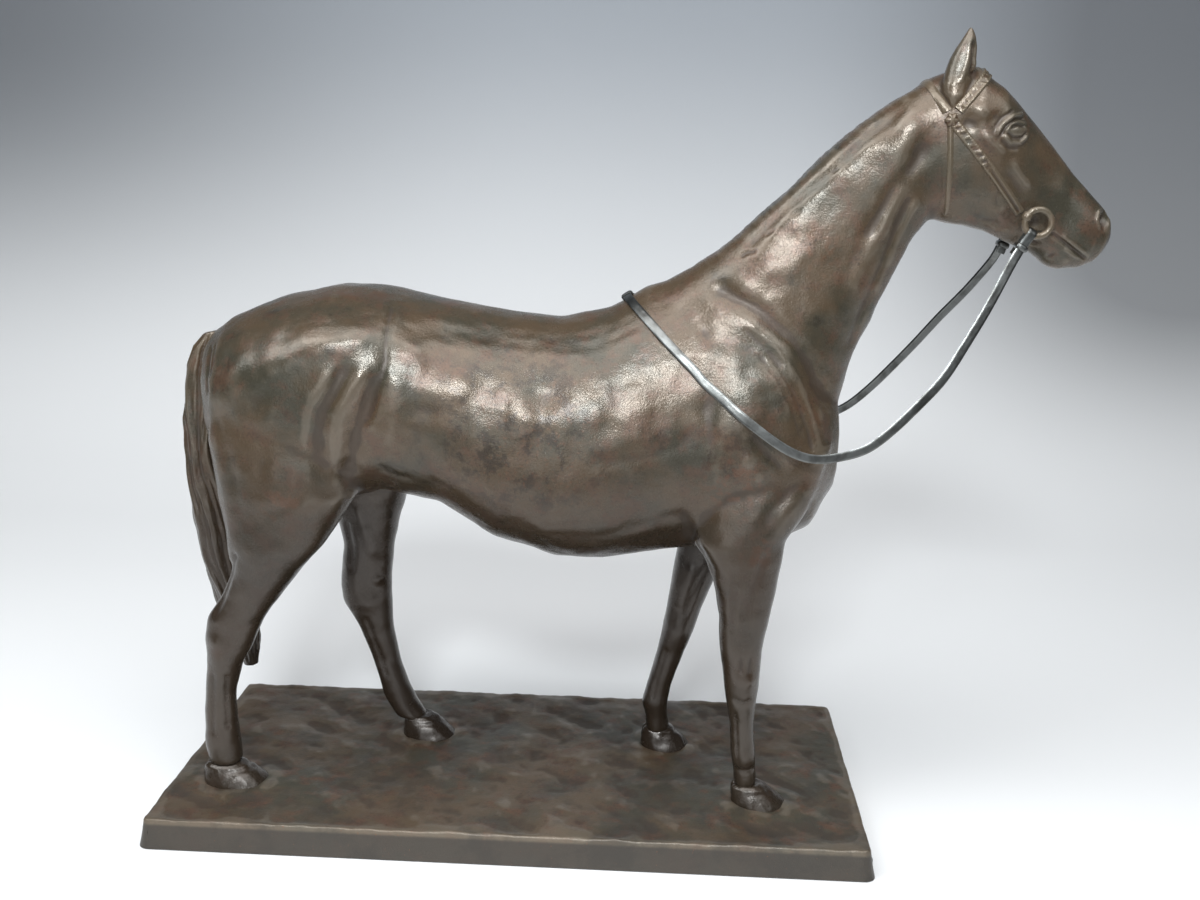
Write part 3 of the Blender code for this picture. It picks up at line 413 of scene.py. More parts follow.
HEAD_MOUNDS = [
    (OUTER, 1.1, 221, 338, 13, 14, 0),
    (OUTER, 1.3, 219, 372, 5.2, 3.2, -20),
    (OUTER, -1.4, 215, 366, 4.2, 3.2, -20),
    (OUTER, -0.9, 227.5, 369, 3.2, 2.8, 0),
    (OUTER, 1.5, 238, 363, 4.2, 3.0, -8),
    (OUTER, -3.2, 287.0, 322.3, 2.0, 3.6, -18),
    (ROUND, 1.3, 265, 298, 5, 4, 0),
    (OUTER, 0.7, 272, 302, 6, 3.5, 0),
    (OUTER, -1.6, 252.5, 320.5, 4, 4, 0),
    (OUTER, 0.6, 278, 318, 8, 9, 0),
    (OUTER, -0.9, 258, 345, 9, 5, -45),
    (OUTER, -1.6, 253.5, 310.4, 3.2, 1.1, -8),
    (OUTER, -0.8, 242, 319, 4, 7, 10),
    (OUTER, 0.5, 236, 326, 4, 4, 0),
]

# The reins from the bit back to the withers: x, z, y. Behind REIN_RESTS_FROM they lie on the body.
RIGHT_REIN = [
    (241, 302, -24.0), (230, 281, -29.0), (219, 262, -34.0), (209, 246, -38.0), (197, 233, -41.5),
    (186, 222, -44.0), (175, 213, -45.5), (164, 209, -46.5), (149, 207, -47.5), (136, 211, -48.0),
    (121, 221, -48.5), (106, 233, -48.5), (94, 244, -46.0), (82, 256, -40.5), (69, 268, -30.0),
    (58, 278, -16.0), (53, 282, -5.0),
]
LEFT_REIN = [
    (244, 297, 26.0), (234, 282, 30.5), (223, 268, 34.5), (212, 253, 38.0), (201, 239, 41.0),
    (189, 225, 43.5), (177, 214, 45.5), (163, 208, 47.0), (149, 208, 48.0), (136, 213, 48.5),
    (121, 223, 48.5), (106, 234, 48.5), (94, 245, 46.0), (82, 256, 40.5), (69, 268, 30.0),
    (58, 278, 16.0), (53, 282, 5.0),
]


def at(x, y, z):
    return Vector((MIDDLE_X + x * MM, y * MM, PLINTH_LOW.z + z * MM))


def only(*pieces):
    """Select these objects alone, the first one active."""
    bpy.ops.object.select_all(action="DESELECT")
    for piece in pieces:
        piece.select_set(True)
    bpy.context.view_layer.objects.active = pieces[0]


def oval(station, sides):
    """The points of one oval, in order."""
    xa, za, xb, zb, half, y, level, upper, lower = (*station, *(0.5, 2.2, 2.2)[len(station) - 6:])
    points = []
    for i in range(sides):
        c = math.cos(TURN * i / sides)
        s = math.sin(TURN * i / sides)
        power, reach = (upper, 1 - level) if s >= 0 else (lower, level)
        up = level + math.copysign(reach * abs(s) ** (2 / power), s)
        out = math.copysign(half * abs(c) ** (2 / power), c)
        points.append(at(xb + (xa - xb) * up, y + out, zb + (za - zb) * up))
    return points


def loft(name, stations, sides=36):
    """Extrude a disc from oval to oval."""
    bpy.ops.object.select_all(action="DESELECT")
    bpy.ops.mesh.primitive_circle_add(vertices=sides, radius=MM, fill_type="NGON")
    piece = bpy.context.object
    piece.name = name
    order = piece.data.attributes.new("order", "INT", "POINT")
    order.data.foreach_set("value", range(sides))
    bpy.ops.object.mode_set(mode="EDIT")
    for index, station in enumerate(stations):
        if index:
            bpy.ops.mesh.extrude_region_move()
        bm = bmesh.from_edit_mesh(piece.data)
        layer = bm.verts.layers.int["order"]
        points = oval(station, sides)
        for v in bm.verts:
            if v.select:
                v.co = points[v[layer]]
        bmesh.update_edit_mesh(piece.data)
    bpy.ops.mesh.select_all(action="SELECT")
    bpy.ops.mesh.normals_make_consistent(inside=False)
    bpy.ops.object.mode_set(mode="OBJECT")
    piece.data.attributes.remove(piece.data.attributes["order"])
    return piece


def apply(piece, kind, **settings):
    """Add a modifier and apply it at once."""
    only(piece)
    made = piece.modifiers.new(kind.title(), kind)
    for key, value in settings.items():
        setattr(made, key, value)
    bpy.ops.object.modifier_apply(modifier=made.name)


def fuse(name, lofts, voxel, smoothing):
    """Run overlapping lofts together into one even skin."""
    only(*lofts)
    if len(lofts) > 1:
        bpy.ops.object.join()
    piece = bpy.context.object
    piece.name = name
    apply(piece, "REMESH", mode="VOXEL", voxel_size=voxel)
    apply(piece, "SMOOTH", factor=0.5, iterations=smoothing)
    return piece


def fineness(voxel):
    return voxel * 1.0


def copy_of(piece, name):
    made = piece.copy()
    made.data = piece.data.copy()
    made.name = name
    bpy.context.scene.collection.objects.link(made)
    return made


def cut(piece, joint, keep):
    """Keep what is before (+1) or behind (-1) a joint's plane, and close the cut."""
    point, normal = joint
    only(piece)
    bpy.ops.object.mode_set(mode="EDIT")
    bpy.ops.mesh.select_all(action="SELECT")
    bpy.ops.mesh.bisect(
        plane_co=at(*point),
        plane_no=normal,
        use_fill=True,
        clear_inner=keep > 0,
        clear_outer=keep < 0,
        threshold=1e-7,
    )
    bpy.ops.object.mode_set(mode="OBJECT")
    return piece


def loose_parts(piece):
    """Part a piece into its separate lumps, and throw away the crumbs."""
    only(piece)
    bpy.ops.mesh.separate(type="LOOSE")
    lumps = list(bpy.context.selected_objects)
    kept = [lump for lump in lumps if len(lump.data.vertices) >= CRUMB]
    for crumb in set(lumps) - set(kept):
        bpy.data.objects.remove(crumb)
    return kept


def middle_and_low(piece):
    co = np.array([v.co for v in piece.data.vertices])
    return co.mean(0), co[:, 2].min()


def soft_edges(piece, degrees=50):
    only(piece)
    bpy.ops.object.shade_smooth_by_angle(angle=math.radians(degrees))


def ramp(values, low, high):
    t = np.clip((values - low) / (high - low), 0, 1)
    return t * t * (3 - 2 * t)


class Clay:
    """A skin's points in millimetres, to be pushed in and out along its normals."""

    def __init__(self, piece):
        self.mesh = piece.data
        self.count = len(self.mesh.vertices)
        flat = np.empty(self.count * 3)
        self.mesh.vertices.foreach_get("co", flat)
        self.points = (flat.reshape(-1, 3) - ORIGIN) / MM
        ends = np.empty(len(self.mesh.edges) * 2, int)
        self.mesh.edges.foreach_get("vertices", ends)
        self.ends = ends.reshape(-1, 2)
        self.look()

    def look(self):
        """Put the points back in the mesh and take the new normals."""
        self.mesh.vertices.foreach_set("co", (self.points * MM + ORIGIN).ravel())
        self.mesh.update()
        flat = np.empty(self.count * 3)
        self.mesh.vertex_normals.foreach_get("vector", flat)
        self.out = flat.reshape(-1, 3)

    def averaged(self, values):
        """The mean of each point's neighbours."""
        a, b = self.ends.T
        total = np.zeros_like(values)
        for k in range(values.shape[1]):
            total[:, k] = np.bincount(a, values[b, k], self.count) + np.bincount(b, values[a, k], self.count)
        return total / np.maximum(np.bincount(self.ends.ravel(), minlength=self.count), 1)[:, None]

    def soften(self, passes):
        """Move each point half way to its neighbours' middle, again and again."""
        for _ in range(passes):
            self.points = (self.points + self.averaged(self.points)) / 2
        self.look()

    def side(self, which):
        """How far each point belongs to a side of the horse, 0 to 1."""
        y, ny = self.points[:, 1], self.out[:, 1]
        if which == OUTER:
            return ramp(ny * np.sign(y), 0.1, 0.45)
        if which == NEAR:
            return ramp(-ny, 0.1, 0.45) * (y < 0)
        if which == FAR_INSIDE:
            return ramp(-ny, 0.1, 0.45) * (y > 0)
        return np.ones(self.count)

    def work(self, strokes, mounds, strength=1.0):
        """Lay on all strokes and mounds at once."""
        sides = {which: self.side(which) for which in (OUTER, NEAR, FAR_INSIDE, ROUND)}
        x, _, z = self.points.T
        lift = np.zeros(self.count)
        for which, height, width, *run in strokes:
            run = np.array(run, float)
            reach = 3 * width
            low, high = run.min(0) - reach, run.max(0) + reach
            near = np.flatnonzero((x > low[0]) & (x < high[0]) & (z > low[1]) & (z < high[1]))
            here = np.stack((x[near], z[near]), 1)
            best = np.full(len(near), 1e9)
            along = np.zeros(len(near))
            travelled = 0.0
            for a, b in zip(run, run[1:]):
                step = b - a
                length = np.hypot(*step)
                t = np.clip((here - a) @ step / length**2, 0, 1)
                away = np.hypot(*(here - a - t[:, None] * step).T)
                closer = away < best
                best = np.where(closer, away, best)
                along = np.where(closer, travelled + t * length, along)
                travelled += length
            fade = ramp(np.minimum(along, travelled - along), -0.3 * width, 2.5 * width)
            lift[near] += height * np.exp(-((best / width) ** 2)) * fade * sides[which][near]
        for which, height, mx, mz, along, across, turn in mounds:
            a = math.radians(turn)
            u = (x - mx) * math.cos(a) + (z - mz) * math.sin(a)
            v = (z - mz) * math.cos(a) - (x - mx) * math.sin(a)
            lift += height * np.exp(-((u / along) ** 2) - (v / across) ** 2) * sides[which]
        self.points += self.out * (lift * strength)[:, None]
        self.look()

    def dent(self, size, height, seed):
        """Uneven hand modelling, in lumps of about one size."""
        shift = Vector((seed * 7.3, seed * 3.1, seed * 5.7))
        lift = np.array([noise.noise(Vector(p) / size + shift) for p in self.points])
        self.points += self.out * (lift * height)[:, None]
        self.look()

    def keep_relief(self, passes, reach):
        """Store how far each point stands out of the skin round it, for the patina."""
        smooth = self.points.copy()
        for _ in range(passes):
            smooth = self.averaged(smooth)
        stands = ((self.points - smooth) * self.out).sum(1) / reach
        relief = self.mesh.attributes.get("relief") or self.mesh.attributes.new("relief", "FLOAT", "POINT")
        relief.data.foreach_set("value", np.clip(stands, -1, 1).astype(np.float32))


# ---------------------------------------------------------------- finishes


class Flow:
    """One output of a finish, so that sums of outputs add their maths nodes."""

    def __init__(self, finish, socket):
        self.finish = finish
        self.socket = socket

    def maths(self, operation, *values):
        return self.finish.node("ShaderNodeMath", {"operation": operation}, list(values))

    def __add__(self, other):
        return self.maths("ADD", self, other)

    def __radd__(self, other):
        return self.maths("ADD", other, self)

    def __sub__(self, other):
        return self.maths("SUBTRACT", self, other)

    def __rsub__(self, other):
        return self.maths("SUBTRACT", other, self)

    def __mul__(self, other):
        return self.maths("MULTIPLY", self, other)

    def __rmul__(self, other):
        return self.maths("MULTIPLY", other, self)

    def limited(self, low=0.0, high=1.0):
        return self.maths("MAXIMUM", self.maths("MINIMUM", self, high), low)


class Finish:
    """A material being mixed."""

    def __init__(self, name):
        self.material = bpy.data.materials.new(name)
        self.material.use_nodes = True
        self.tree = self.material.node_tree
        self.shader = self.tree.nodes["Principled BSDF"]
        self.place = self.node("ShaderNodeTexCoord", {}, {}, "Object")

    def waxed(self, share):
        """Wax over the patina, and the patina's gloss."""
        settings = bpy.context.scene.horse_bronze
        self.shader.inputs["Coat Weight"].default_value = settings.wax * share
        self.shader.inputs["Coat Roughness"].default_value = settings.wax_roughness
        self.shader.inputs["Specular IOR Level"].default_value = settings.gloss

    def node(self, kind, settings, values, output=0):
        """Add a node: its settings first, then its sockets' values or links."""
        made = self.tree.nodes.new(kind)
        for key, value in settings.items():
            setattr(made, key, value)
        pairs = values.items() if isinstance(values, dict) else enumerate(values)
        for key, value in pairs:
            self.put(made.inputs[key], value)
        return Flow(self, made.outputs[output])

    def put(self, socket, value):
        if isinstance(value, Flow):
            self.tree.links.new(value.socket, socket)
        elif socket.type == "RGBA":
            socket.default_value = (*value, 1.0)
        else:
            socket.default_value = value

    def axis(self, name):
        """How far along X, Y or Z."""
        return self.node("ShaderNodeSeparateXYZ", {}, [self.place], name)

    def relief(self):
        """How far the surface stands out of the skin round it, -1 to 1."""
        return self.node("ShaderNodeAttribute", {"attribute_name": "relief"}, {}, "Fac")

    def noise(self, size, detail=3.0, rough=0.5):
        """Cloudy noise, 0 to 1, with lumps of about a size in millimetres."""
        values = {"Vector": self.place, "Scale": 1 / (size * MM), "Detail": detail, "Roughness": rough}
        return self.node("ShaderNodeTexNoise", {}, values, "Fac")

    def band(self, value, low, high):
        """0 below low, 1 above high, eased between."""
        values = {"Value": value, "From Min": low, "From Max": high}
        return self.node("ShaderNodeMapRange", {"interpolation_type": "SMOOTHSTEP"}, values)

    def mix(self, share, one, two):
        """A share of the second colour over the first."""
        return self.node("ShaderNodeMix", {"data_type": "RGBA"}, {0: share, 6: one, 7: two}, 2)

    def spot(self, x, y, z, radius):
        """1 at a place on the horse, fading out to 0 at a radius."""
        settings = {"operation": "DISTANCE"}
        away = self.node("ShaderNodeVectorMath", settings, [self.place, tuple(at(x, y, z))], "Value")
        return 1 - self.band(away, 0.2 * radius * MM, radius * MM)

    def bump(self, height, strength, distance, under=None):
        """A bump of a distance in millimetres, over another one if it is given."""
        values = {"Height": height, "Strength": strength, "Distance": distance * MM}
        if under:
            values["Normal"] = under
        return self.node("ShaderNodeBump", {}, values)

    def set(self, **values):
        """Feed the shader's sockets and hand over the material."""
        for key, value in values.items():
            self.put(self.shader.inputs[key.replace("_", " ")], value)
        return self.material


def bronze_finish(name, warm=1.0, rough=0.0):
    """Brown patinated bronze: worn and brassy on the edges, dark and rusty in the hollows."""
    settings = bpy.context.scene.horse_bronze
    f = Finish(name)
    f.waxed(1 - rough * 5)
    cloud = f.noise(38, 4, 0.6)
    patch = f.noise(13, 4, 0.65)
    fine = f.noise(2.6, 4, 0.7)
    speck = f.noise(1.2, 3, 0.65)
    colour = f.mix(f.band(cloud, 0.38, 0.66), settings.brown, settings.umber)
    colour = f.mix(f.band(patch, 0.48, 0.68) * (0.65 * warm), colour, settings.russet)
    colour = f.mix(f.band(speck, 0.5, 0.72) * f.band(patch, 0.42, 0.6) * 0.75, colour, settings.dark)
    colour = f.mix(f.band(f.noise(0.9, 3, 0.6), 0.6, 0.78) * 0.35, colour, settings.worn)
    hollow = f.band(0 - f.relief(), 0.12, 0.8)
    edge = f.band(f.relief() + (fine - 0.5) * 0.5, 0.3, 0.95)
    colour = f.mix(hollow * 0.6, colour, settings.hollow)
    colour = f.mix(edge * 0.45, colour, settings.worn)
    shine = settings.roughness + rough + (patch - 0.5) * 0.3 + (fine - 0.5) * 0.16
    shine = shine + hollow * 0.2 - edge * 0.06
    skin = f.bump(f.noise(1.5, 3, 0.65), 0.6, 0.19, f.bump(f.noise(0.75, 2, 0.6), 0.5, 0.11))
    return f, colour, shine, f.bump(fine, 0.3, 0.25, skin)


def statue_finish():
    """The horse's bronze, with stains, rust and rubbed places, and painted shade low down, on the left (far)
    side's legs and in each nostril.
    """
    settings = bpy.context.scene.horse_bronze
    f, colour, shine, normal = bronze_finish("patinated_bronze")
    stain = f.spot(5, -52, 214, 75) * f.band(f.noise(11, 5, 0.72), 0.5, 0.6)
    stain = stain + f.spot(104, -46, 205, 26) * f.band(f.noise(8, 5, 0.7), 0.48, 0.6)
    stain = (stain + f.band(f.noise(19, 6, 0.72), 0.58, 0.68) * 0.6).limited()
    colour = f.mix(stain * 0.75, colour, settings.dark)
    rust = f.spot(124, -46, 158, 13) * f.band(f.noise(5), 0.45, 0.62)
    rust = rust + f.spot(-113, -50, 176, 16) * f.band(f.noise(7), 0.45, 0.6) * 0.6
    rust = rust + f.spot(112, -44, 192, 26) * f.band(f.noise(4), 0.48, 0.66) * 0.5
    rust = rust + f.spot(15, -52, 200, 62) * f.band(f.noise(2.2, 3, 0.7), 0.54, 0.72) * 0.45
    rust = rust + f.spot(148, -28, 306, 22) * f.band(f.noise(6), 0.46, 0.66) * 0.5
    rust = rust + f.spot(123, -42, 88, 5) * 0.7
    rust = rust + f.spot(-155, -43, 92, 6) * 0.6
    colour = f.mix((rust * 0.8).limited(), colour, settings.rust)
    rubbed = f.spot(123, -42, 31, 5) + f.spot(121, -44, 21, 6) * 0.5 + f.spot(-60, 16, 23, 7) * 0.8
    rubbed = (rubbed + f.spot(76, 14, 25, 6) * 0.5) * f.band(f.noise(2.5), 0.4, 0.6)
    colour = f.mix((rubbed * 0.8).limited(), colour, settings.worn)
    height = f.axis("Z")
    # Painted shade: the bronze turns to the dark colour below about 235 mm, most of all below 130 mm, and a
    # little more on the left (far) side below about 170 mm.
    low = 1 - f.band(height, at(0, 0, 130).z, at(0, 0, 235).z)
    inner = f.band(f.axis("Y"), -0.005, 0.01) * (1 - f.band(height, at(0, 0, 150).z, at(0, 0, 190).z))
    colour = f.mix((low * 0.85 + inner * 0.15).limited(), colour, settings.dark)
    # Painted shade in each nostril's hollow, which is also made duller.
    painted_nostril_shade = f.spot(287, -11, 322, 5) + f.spot(287, 11, 322, 5)
    colour = f.mix(painted_nostril_shade * 0.8, colour, settings.dark)
    shine = (shine + painted_nostril_shade * 0.3).limited(0.16, 0.9)
    return f.set(Base_Color=colour, Metallic=settings.metal, Roughness=shine, Normal=normal)


def bridle_finish():
    """The same bronze, rubbed brighter on its chasing."""
    settings = bpy.context.scene.horse_bronze
    f, colour, shine, normal = bronze_finish("chased_bronze", 1.2)
    brass = f.band(f.relief() + (f.noise(6) - 0.5) * 0.8, 0.1, 0.8)
    colour = f.mix(brass * 0.2, colour, settings.brass)
    shine = shine.limited(0.16, 0.9)
    return f.set(Base_Color=colour, Metallic=settings.metal, Roughness=shine, Normal=normal)


def plinth_finish():
    """A duller and redder bronze, with a dark mottle and painted shade on its sides."""
    settings = bpy.context.scene.horse_bronze
    f, colour, shine, normal = bronze_finish("ground_bronze", 1.3, 0.2)
    mottle = f.band(f.noise(24, 5, 0.7), 0.45, 0.62)
    colour = f.mix(mottle * 0.45, colour, settings.ground)
    # Painted shade: the plinth's sides below the top rim are darkened with the ground colour.
    side = 1 - f.band(f.axis("Z"), at(0, 0, 11.5).z, at(0, 0, 13.5).z)
    colour = f.mix(side * 0.8, colour, settings.ground)
    flecks = f.band(f.noise(1.6, 2, 0.6), 0.68, 0.78)
    colour = f.mix(flecks * 0.6, colour, settings.rust)
    shine = shine.limited(0.24, 0.95)
    return f.set(Base_Color=colour, Metallic=settings.metal, Roughness=shine, Normal=normal)


def rein_finish():
    """Grey worn steel with a few brown specks."""
    settings = bpy.context.scene.horse_steel
    f = Finish("rein_steel")
    patch = f.noise(9, 4, 0.6)
    fine = f.noise(1.4, 4, 0.7)
    colour = f.mix(f.band(patch, 0.4, 0.68), settings.rein_colour, settings.rein_dark)
    colour = f.mix(f.band(fine, 0.62, 0.8) * 0.5, colour, settings.rein_rust)
    shine = settings.rein_roughness + (fine - 0.5) * 0.2 + (patch - 0.5) * 0.1
    return f.set(
        Base_Color=colour,
        Metallic=1.0,
        Roughness=shine.limited(0.15, 0.9),
        Normal=f.bump(fine, 0.3, 0.2),
    )


def fixing_finish():
    """Bright plain steel, a little rusty."""
    settings = bpy.context.scene.horse_steel
    f = Finish("fixing_steel")
    fine = f.noise(1.1, 3, 0.6)
    colour = f.mix(f.band(f.noise(3), 0.5, 0.7) * 0.5, settings.fixing_colour, settings.rein_rust)
    return f.set(
        Base_Color=colour,
        Metallic=1.0,
        Roughness=(0.3 + fine * 0.2).limited(0.15, 0.9),
        Normal=f.bump(fine, 0.2, 0.1),
    )


def finish_named(name, make):
    """A finish that is there already, or else made now."""
    return bpy.data.materials.get(name) or make()


def hand_over(piece, body, slot, material, *nodes):
    """Give a finished piece its material, its body and the node it stands for."""
    piece.data.materials.clear()
    piece.data.materials.append(material)
    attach(piece, body)
    if nodes:
        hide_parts(*nodes)


# ---------------------------------------------------------------- castings


def build_body():
    """Trunk, neck and legs, modelled as one skin and then cut at the casting's joints."""
    shape = bpy.context.scene.horse_shape
    lofts = [
        loft("trunk_form", TRUNK, 48),
        loft("neck_form", NECK, 40),
        loft("poll_form", HEAD[:5], 40),
        loft("sheath_form", SHEATH, 20),
    ]
    for leg in (FORELEG_RIGHT, FORELEG_LEFT, HIND_LEG_RIGHT, HIND_LEG_LEFT):
        lofts.append(loft("leg_form", leg, 28))
    skin = fuse("horse_skin", lofts, fineness(shape.body_voxel), 16)
    clay = Clay(skin)
    clay.soften(6)
    clay.work([], BODY_MOUNDS, shape.relief)
    clay.work(BODY_STROKES, [], shape.relief)
    clay.dent(19, 0.5, 1)
    clay.dent(11, 0.42, 2)
    clay.dent(4.5, 0.11, 7)
    crest_hair(clay)
    clay.soften(1)
    clay.keep_relief(14, 0.35)
    cut(skin, POLL_JOINT, -1)
    material = finish_named("patinated_bronze", statue_finish)

    for joint, x_side in ((FORELEG_JOINT, 1), (HIND_LEG_JOINT, -1)):
        legs = cut(copy_of(skin, "legs"), joint, -1)
        cut(legs, ((0, 0, 0), (1, 0, 0)), x_side)
        for lump in loose_parts(legs):
            middle, low = middle_and_low(lump)
            if low > at(0, 0, LEG_REACHES).z:
                bpy.data.objects.remove(lump)
                continue
            kind = "foreleg" if x_side > 0 else "hind_leg"
            leg = kind + ("_right" if middle[1] < 0 else "_left")
            lump.name = leg + "_casting"
            soft_edges(lump)
            hand_over(lump, "statue", "bronze", material, leg)

    sections = {
        "hindquarters": ((HIND_LEG_JOINT, 1), (FLANK_JOINT, -1)),
        "barrel": ((BARREL_LOW, 1), (FLANK_JOINT, 1), (GIRTH_JOINT, -1)),
        "forehand": ((FORELEG_JOINT, 1), (GIRTH_JOINT, 1), (SHOULDER_JOINT, -1)),
        "neck": ((SHOULDER_JOINT, 1),),
    }
    for name, joints in sections.items():
        piece = copy_of(skin, name + "_casting")
        for joint, keep in joints:
            cut(piece, joint, keep)
        soft_edges(piece)
        hand_over(piece, "statue", "bronze", material, name)
    bpy.data.objects.remove(skin)


def crest_hair(clay):
    """The hogged mane: short tufts cut across the top of the neck."""
    x, y, z = clay.points.T
    crest = np.interp(x, *zip(*CREST))
    on_top = ramp(z - crest, -5, -0.5) * ramp(clay.out[:, 2], 0.2, 0.5) * ramp(x, 72, 95) * ramp(-x, -198, -188)
    along = x * 0.75 + z * 0.65
    ripple = np.array([noise.noise(Vector((a / 2.2, b / 6, 0.5))) for a, b in zip(along, y)])
    clay.points += clay.out * (on_top * ripple * 0.35)[:, None]
    clay.look()


def build_head():
    """Head and ears, modelled finer than the body."""
    shape = bpy.context.scene.horse_shape
    lofts = [loft("head_form", HEAD, 48), loft("upper_neck_form", NECK[3:], 40)]
    for dx, y, dz in EAR_PLACES:
        lean = math.copysign(1, y)
        ear = [(a + dx, b + dz, c + dx, d + dz, half, y + lean * out) for a, b, c, d, half, out in EAR]
        lofts.append(loft("ear_form", ear, 20))
    skin = fuse("head_casting", lofts, fineness(shape.head_voxel), 14)
    clay = Clay(skin)
    clay.soften(3)
    clay.work([], HEAD_MOUNDS, shape.relief)
    clay.work(HEAD_STROKES, [], shape.relief)
    neck_strokes = [s for s in BODY_STROKES if max(p[0] for p in s[3:]) > 185]
    clay.work(neck_strokes, [m for m in BODY_MOUNDS if m[2] > 175], shape.relief)
    clay.dent(9, 0.25, 3)
    clay.soften(1)
    clay.keep_relief(14, 0.2)
    cut(skin, POLL_JOINT, 1)
    material = finish_named("patinated_bronze", statue_finish)
    ears = cut(copy_of(skin, "ears"), EAR_JOINT, 1)
    for lump in loose_parts(ears):
        middle, _ = middle_and_low(lump)
        side = "right" if middle[1] < 0 else "left"
        lump.name = "ear_" + side + "_casting"
        soft_edges(lump)
        hand_over(lump, "statue", "bronze", material, "ear_" + side)
    cut(skin, EAR_JOINT, -1)
    soft_edges(skin)
    hand_over(skin, "statue", "bronze", material, "head")


def build_tail():
    """The tail, carved in long wavy locks."""
    shape = bpy.context.scene.horse_shape
    tail = fuse("tail_casting", [loft("tail_form", TAIL, 28)], shape.head_voxel * 1.3, 4)
    clay = Clay(tail)
    x, y, z = clay.points.T
    heights = [s[1] for s in reversed(TAIL)]
    middle = np.interp(z, heights, [(s[0] + s[2]) / 2 for s in reversed(TAIL)])
    turn = np.arctan2(y, x - middle)
    sway = np.array([noise.noise(Vector((h / 34, t, 2.0))) for h, t in zip(z, turn)])
    locks = np.sin(7 * turn + 5 * sway + z / 26)
    hair = np.sin(19 * turn + 9 * sway + z / 11)
    lift = 0.75 * locks + 0.3 * hair - 0.5 * (1 - np.abs(locks)) ** 3
    clay.points += clay.out * (lift * ramp(z, 66, 76) * ramp(-z, -258, -246))[:, None]
    clay.look()
    clay.dent(10, 0.7, 4)
    clay.soften(1)
    clay.keep_relief(12, 0.35)
    soft_edges(tail, 60)
    hand_over(tail, "statue", "bronze", finish_named("patinated_bronze", statue_finish), "tail")


def build_hooves():
    """Each hoof, cleft behind, with its wall drawn in under the coronet."""
    shape = bpy.context.scene.horse_shape
    floor = (PLINTH_HIGH.z - PLINTH_LOW.z) / MM
    for leg, (x, y, length, width, height, back) in HOOVES.items():
        stations = []
        for share, shrink in HOOF_PROFILE:
            middle = x - back * share
            half = length / 2 * shrink
            z = floor + share * height
            stations.append((middle + half, z, middle - half, z, width / 2 * shrink, y))
        hoof = fuse("hoof_" + leg + "_casting", [loft("hoof_form", stations, 32)], shape.head_voxel, 3)
        clay = Clay(hoof)
        px, py, pz = clay.points.T
        front = px - x
        cleft = np.exp(-((py - y) / 1.6) ** 2) * ramp(-front, length * 0.2, length * 0.4)
        wall = -0.35 * np.exp(-(((pz - floor) / height - 0.72) / 0.1) ** 2) * ramp(front, -8, 2)
        clay.points += clay.out * (wall - 1.6 * cleft)[:, None]
        clay.look()
        clay.dent(5, 0.5, 5)
        clay.keep_relief(10, 0.2)
        soft_edges(hoof)
        material = finish_named("patinated_bronze", statue_finish)
        hand_over(hoof, "statue", "bronze", material, "hoof_" + leg)


# ---------------------------------------------------------------- plinth


def ground_height(x, y):
    """The modelled ground's rise over the flat top, in millimetres."""
    p = Vector((x, y, 0))
    rise = 1.3 * noise.noise(p / 46 + Vector((3, 1, 0)))
    rise += 1.2 * noise.noise(Vector((x / 24 + y / 40, y / 24, 4.0)))
    rise += 0.8 * (0.3 - abs(noise.noise(Vector((x / 22, y / 17 + x / 40, 8.0)))))
    rise += 0.28 * noise.noise(Vector((x / 13, y / 9, 9.0)))
    rise += 0.16 * noise.noise(p / 4.5)
    for hx, hy, length, width, *_ in HOOVES.values():
        away = math.hypot((x - hx) / (length / 2 + 3), (y - hy) / (width / 2 + 3))
        lumpy = 1 + noise.noise(Vector((x / 9, y / 9, hx)))
        rise += 0.9 * lumpy * math.exp(-(((away - 1.0) / 0.4) ** 2))
    return rise


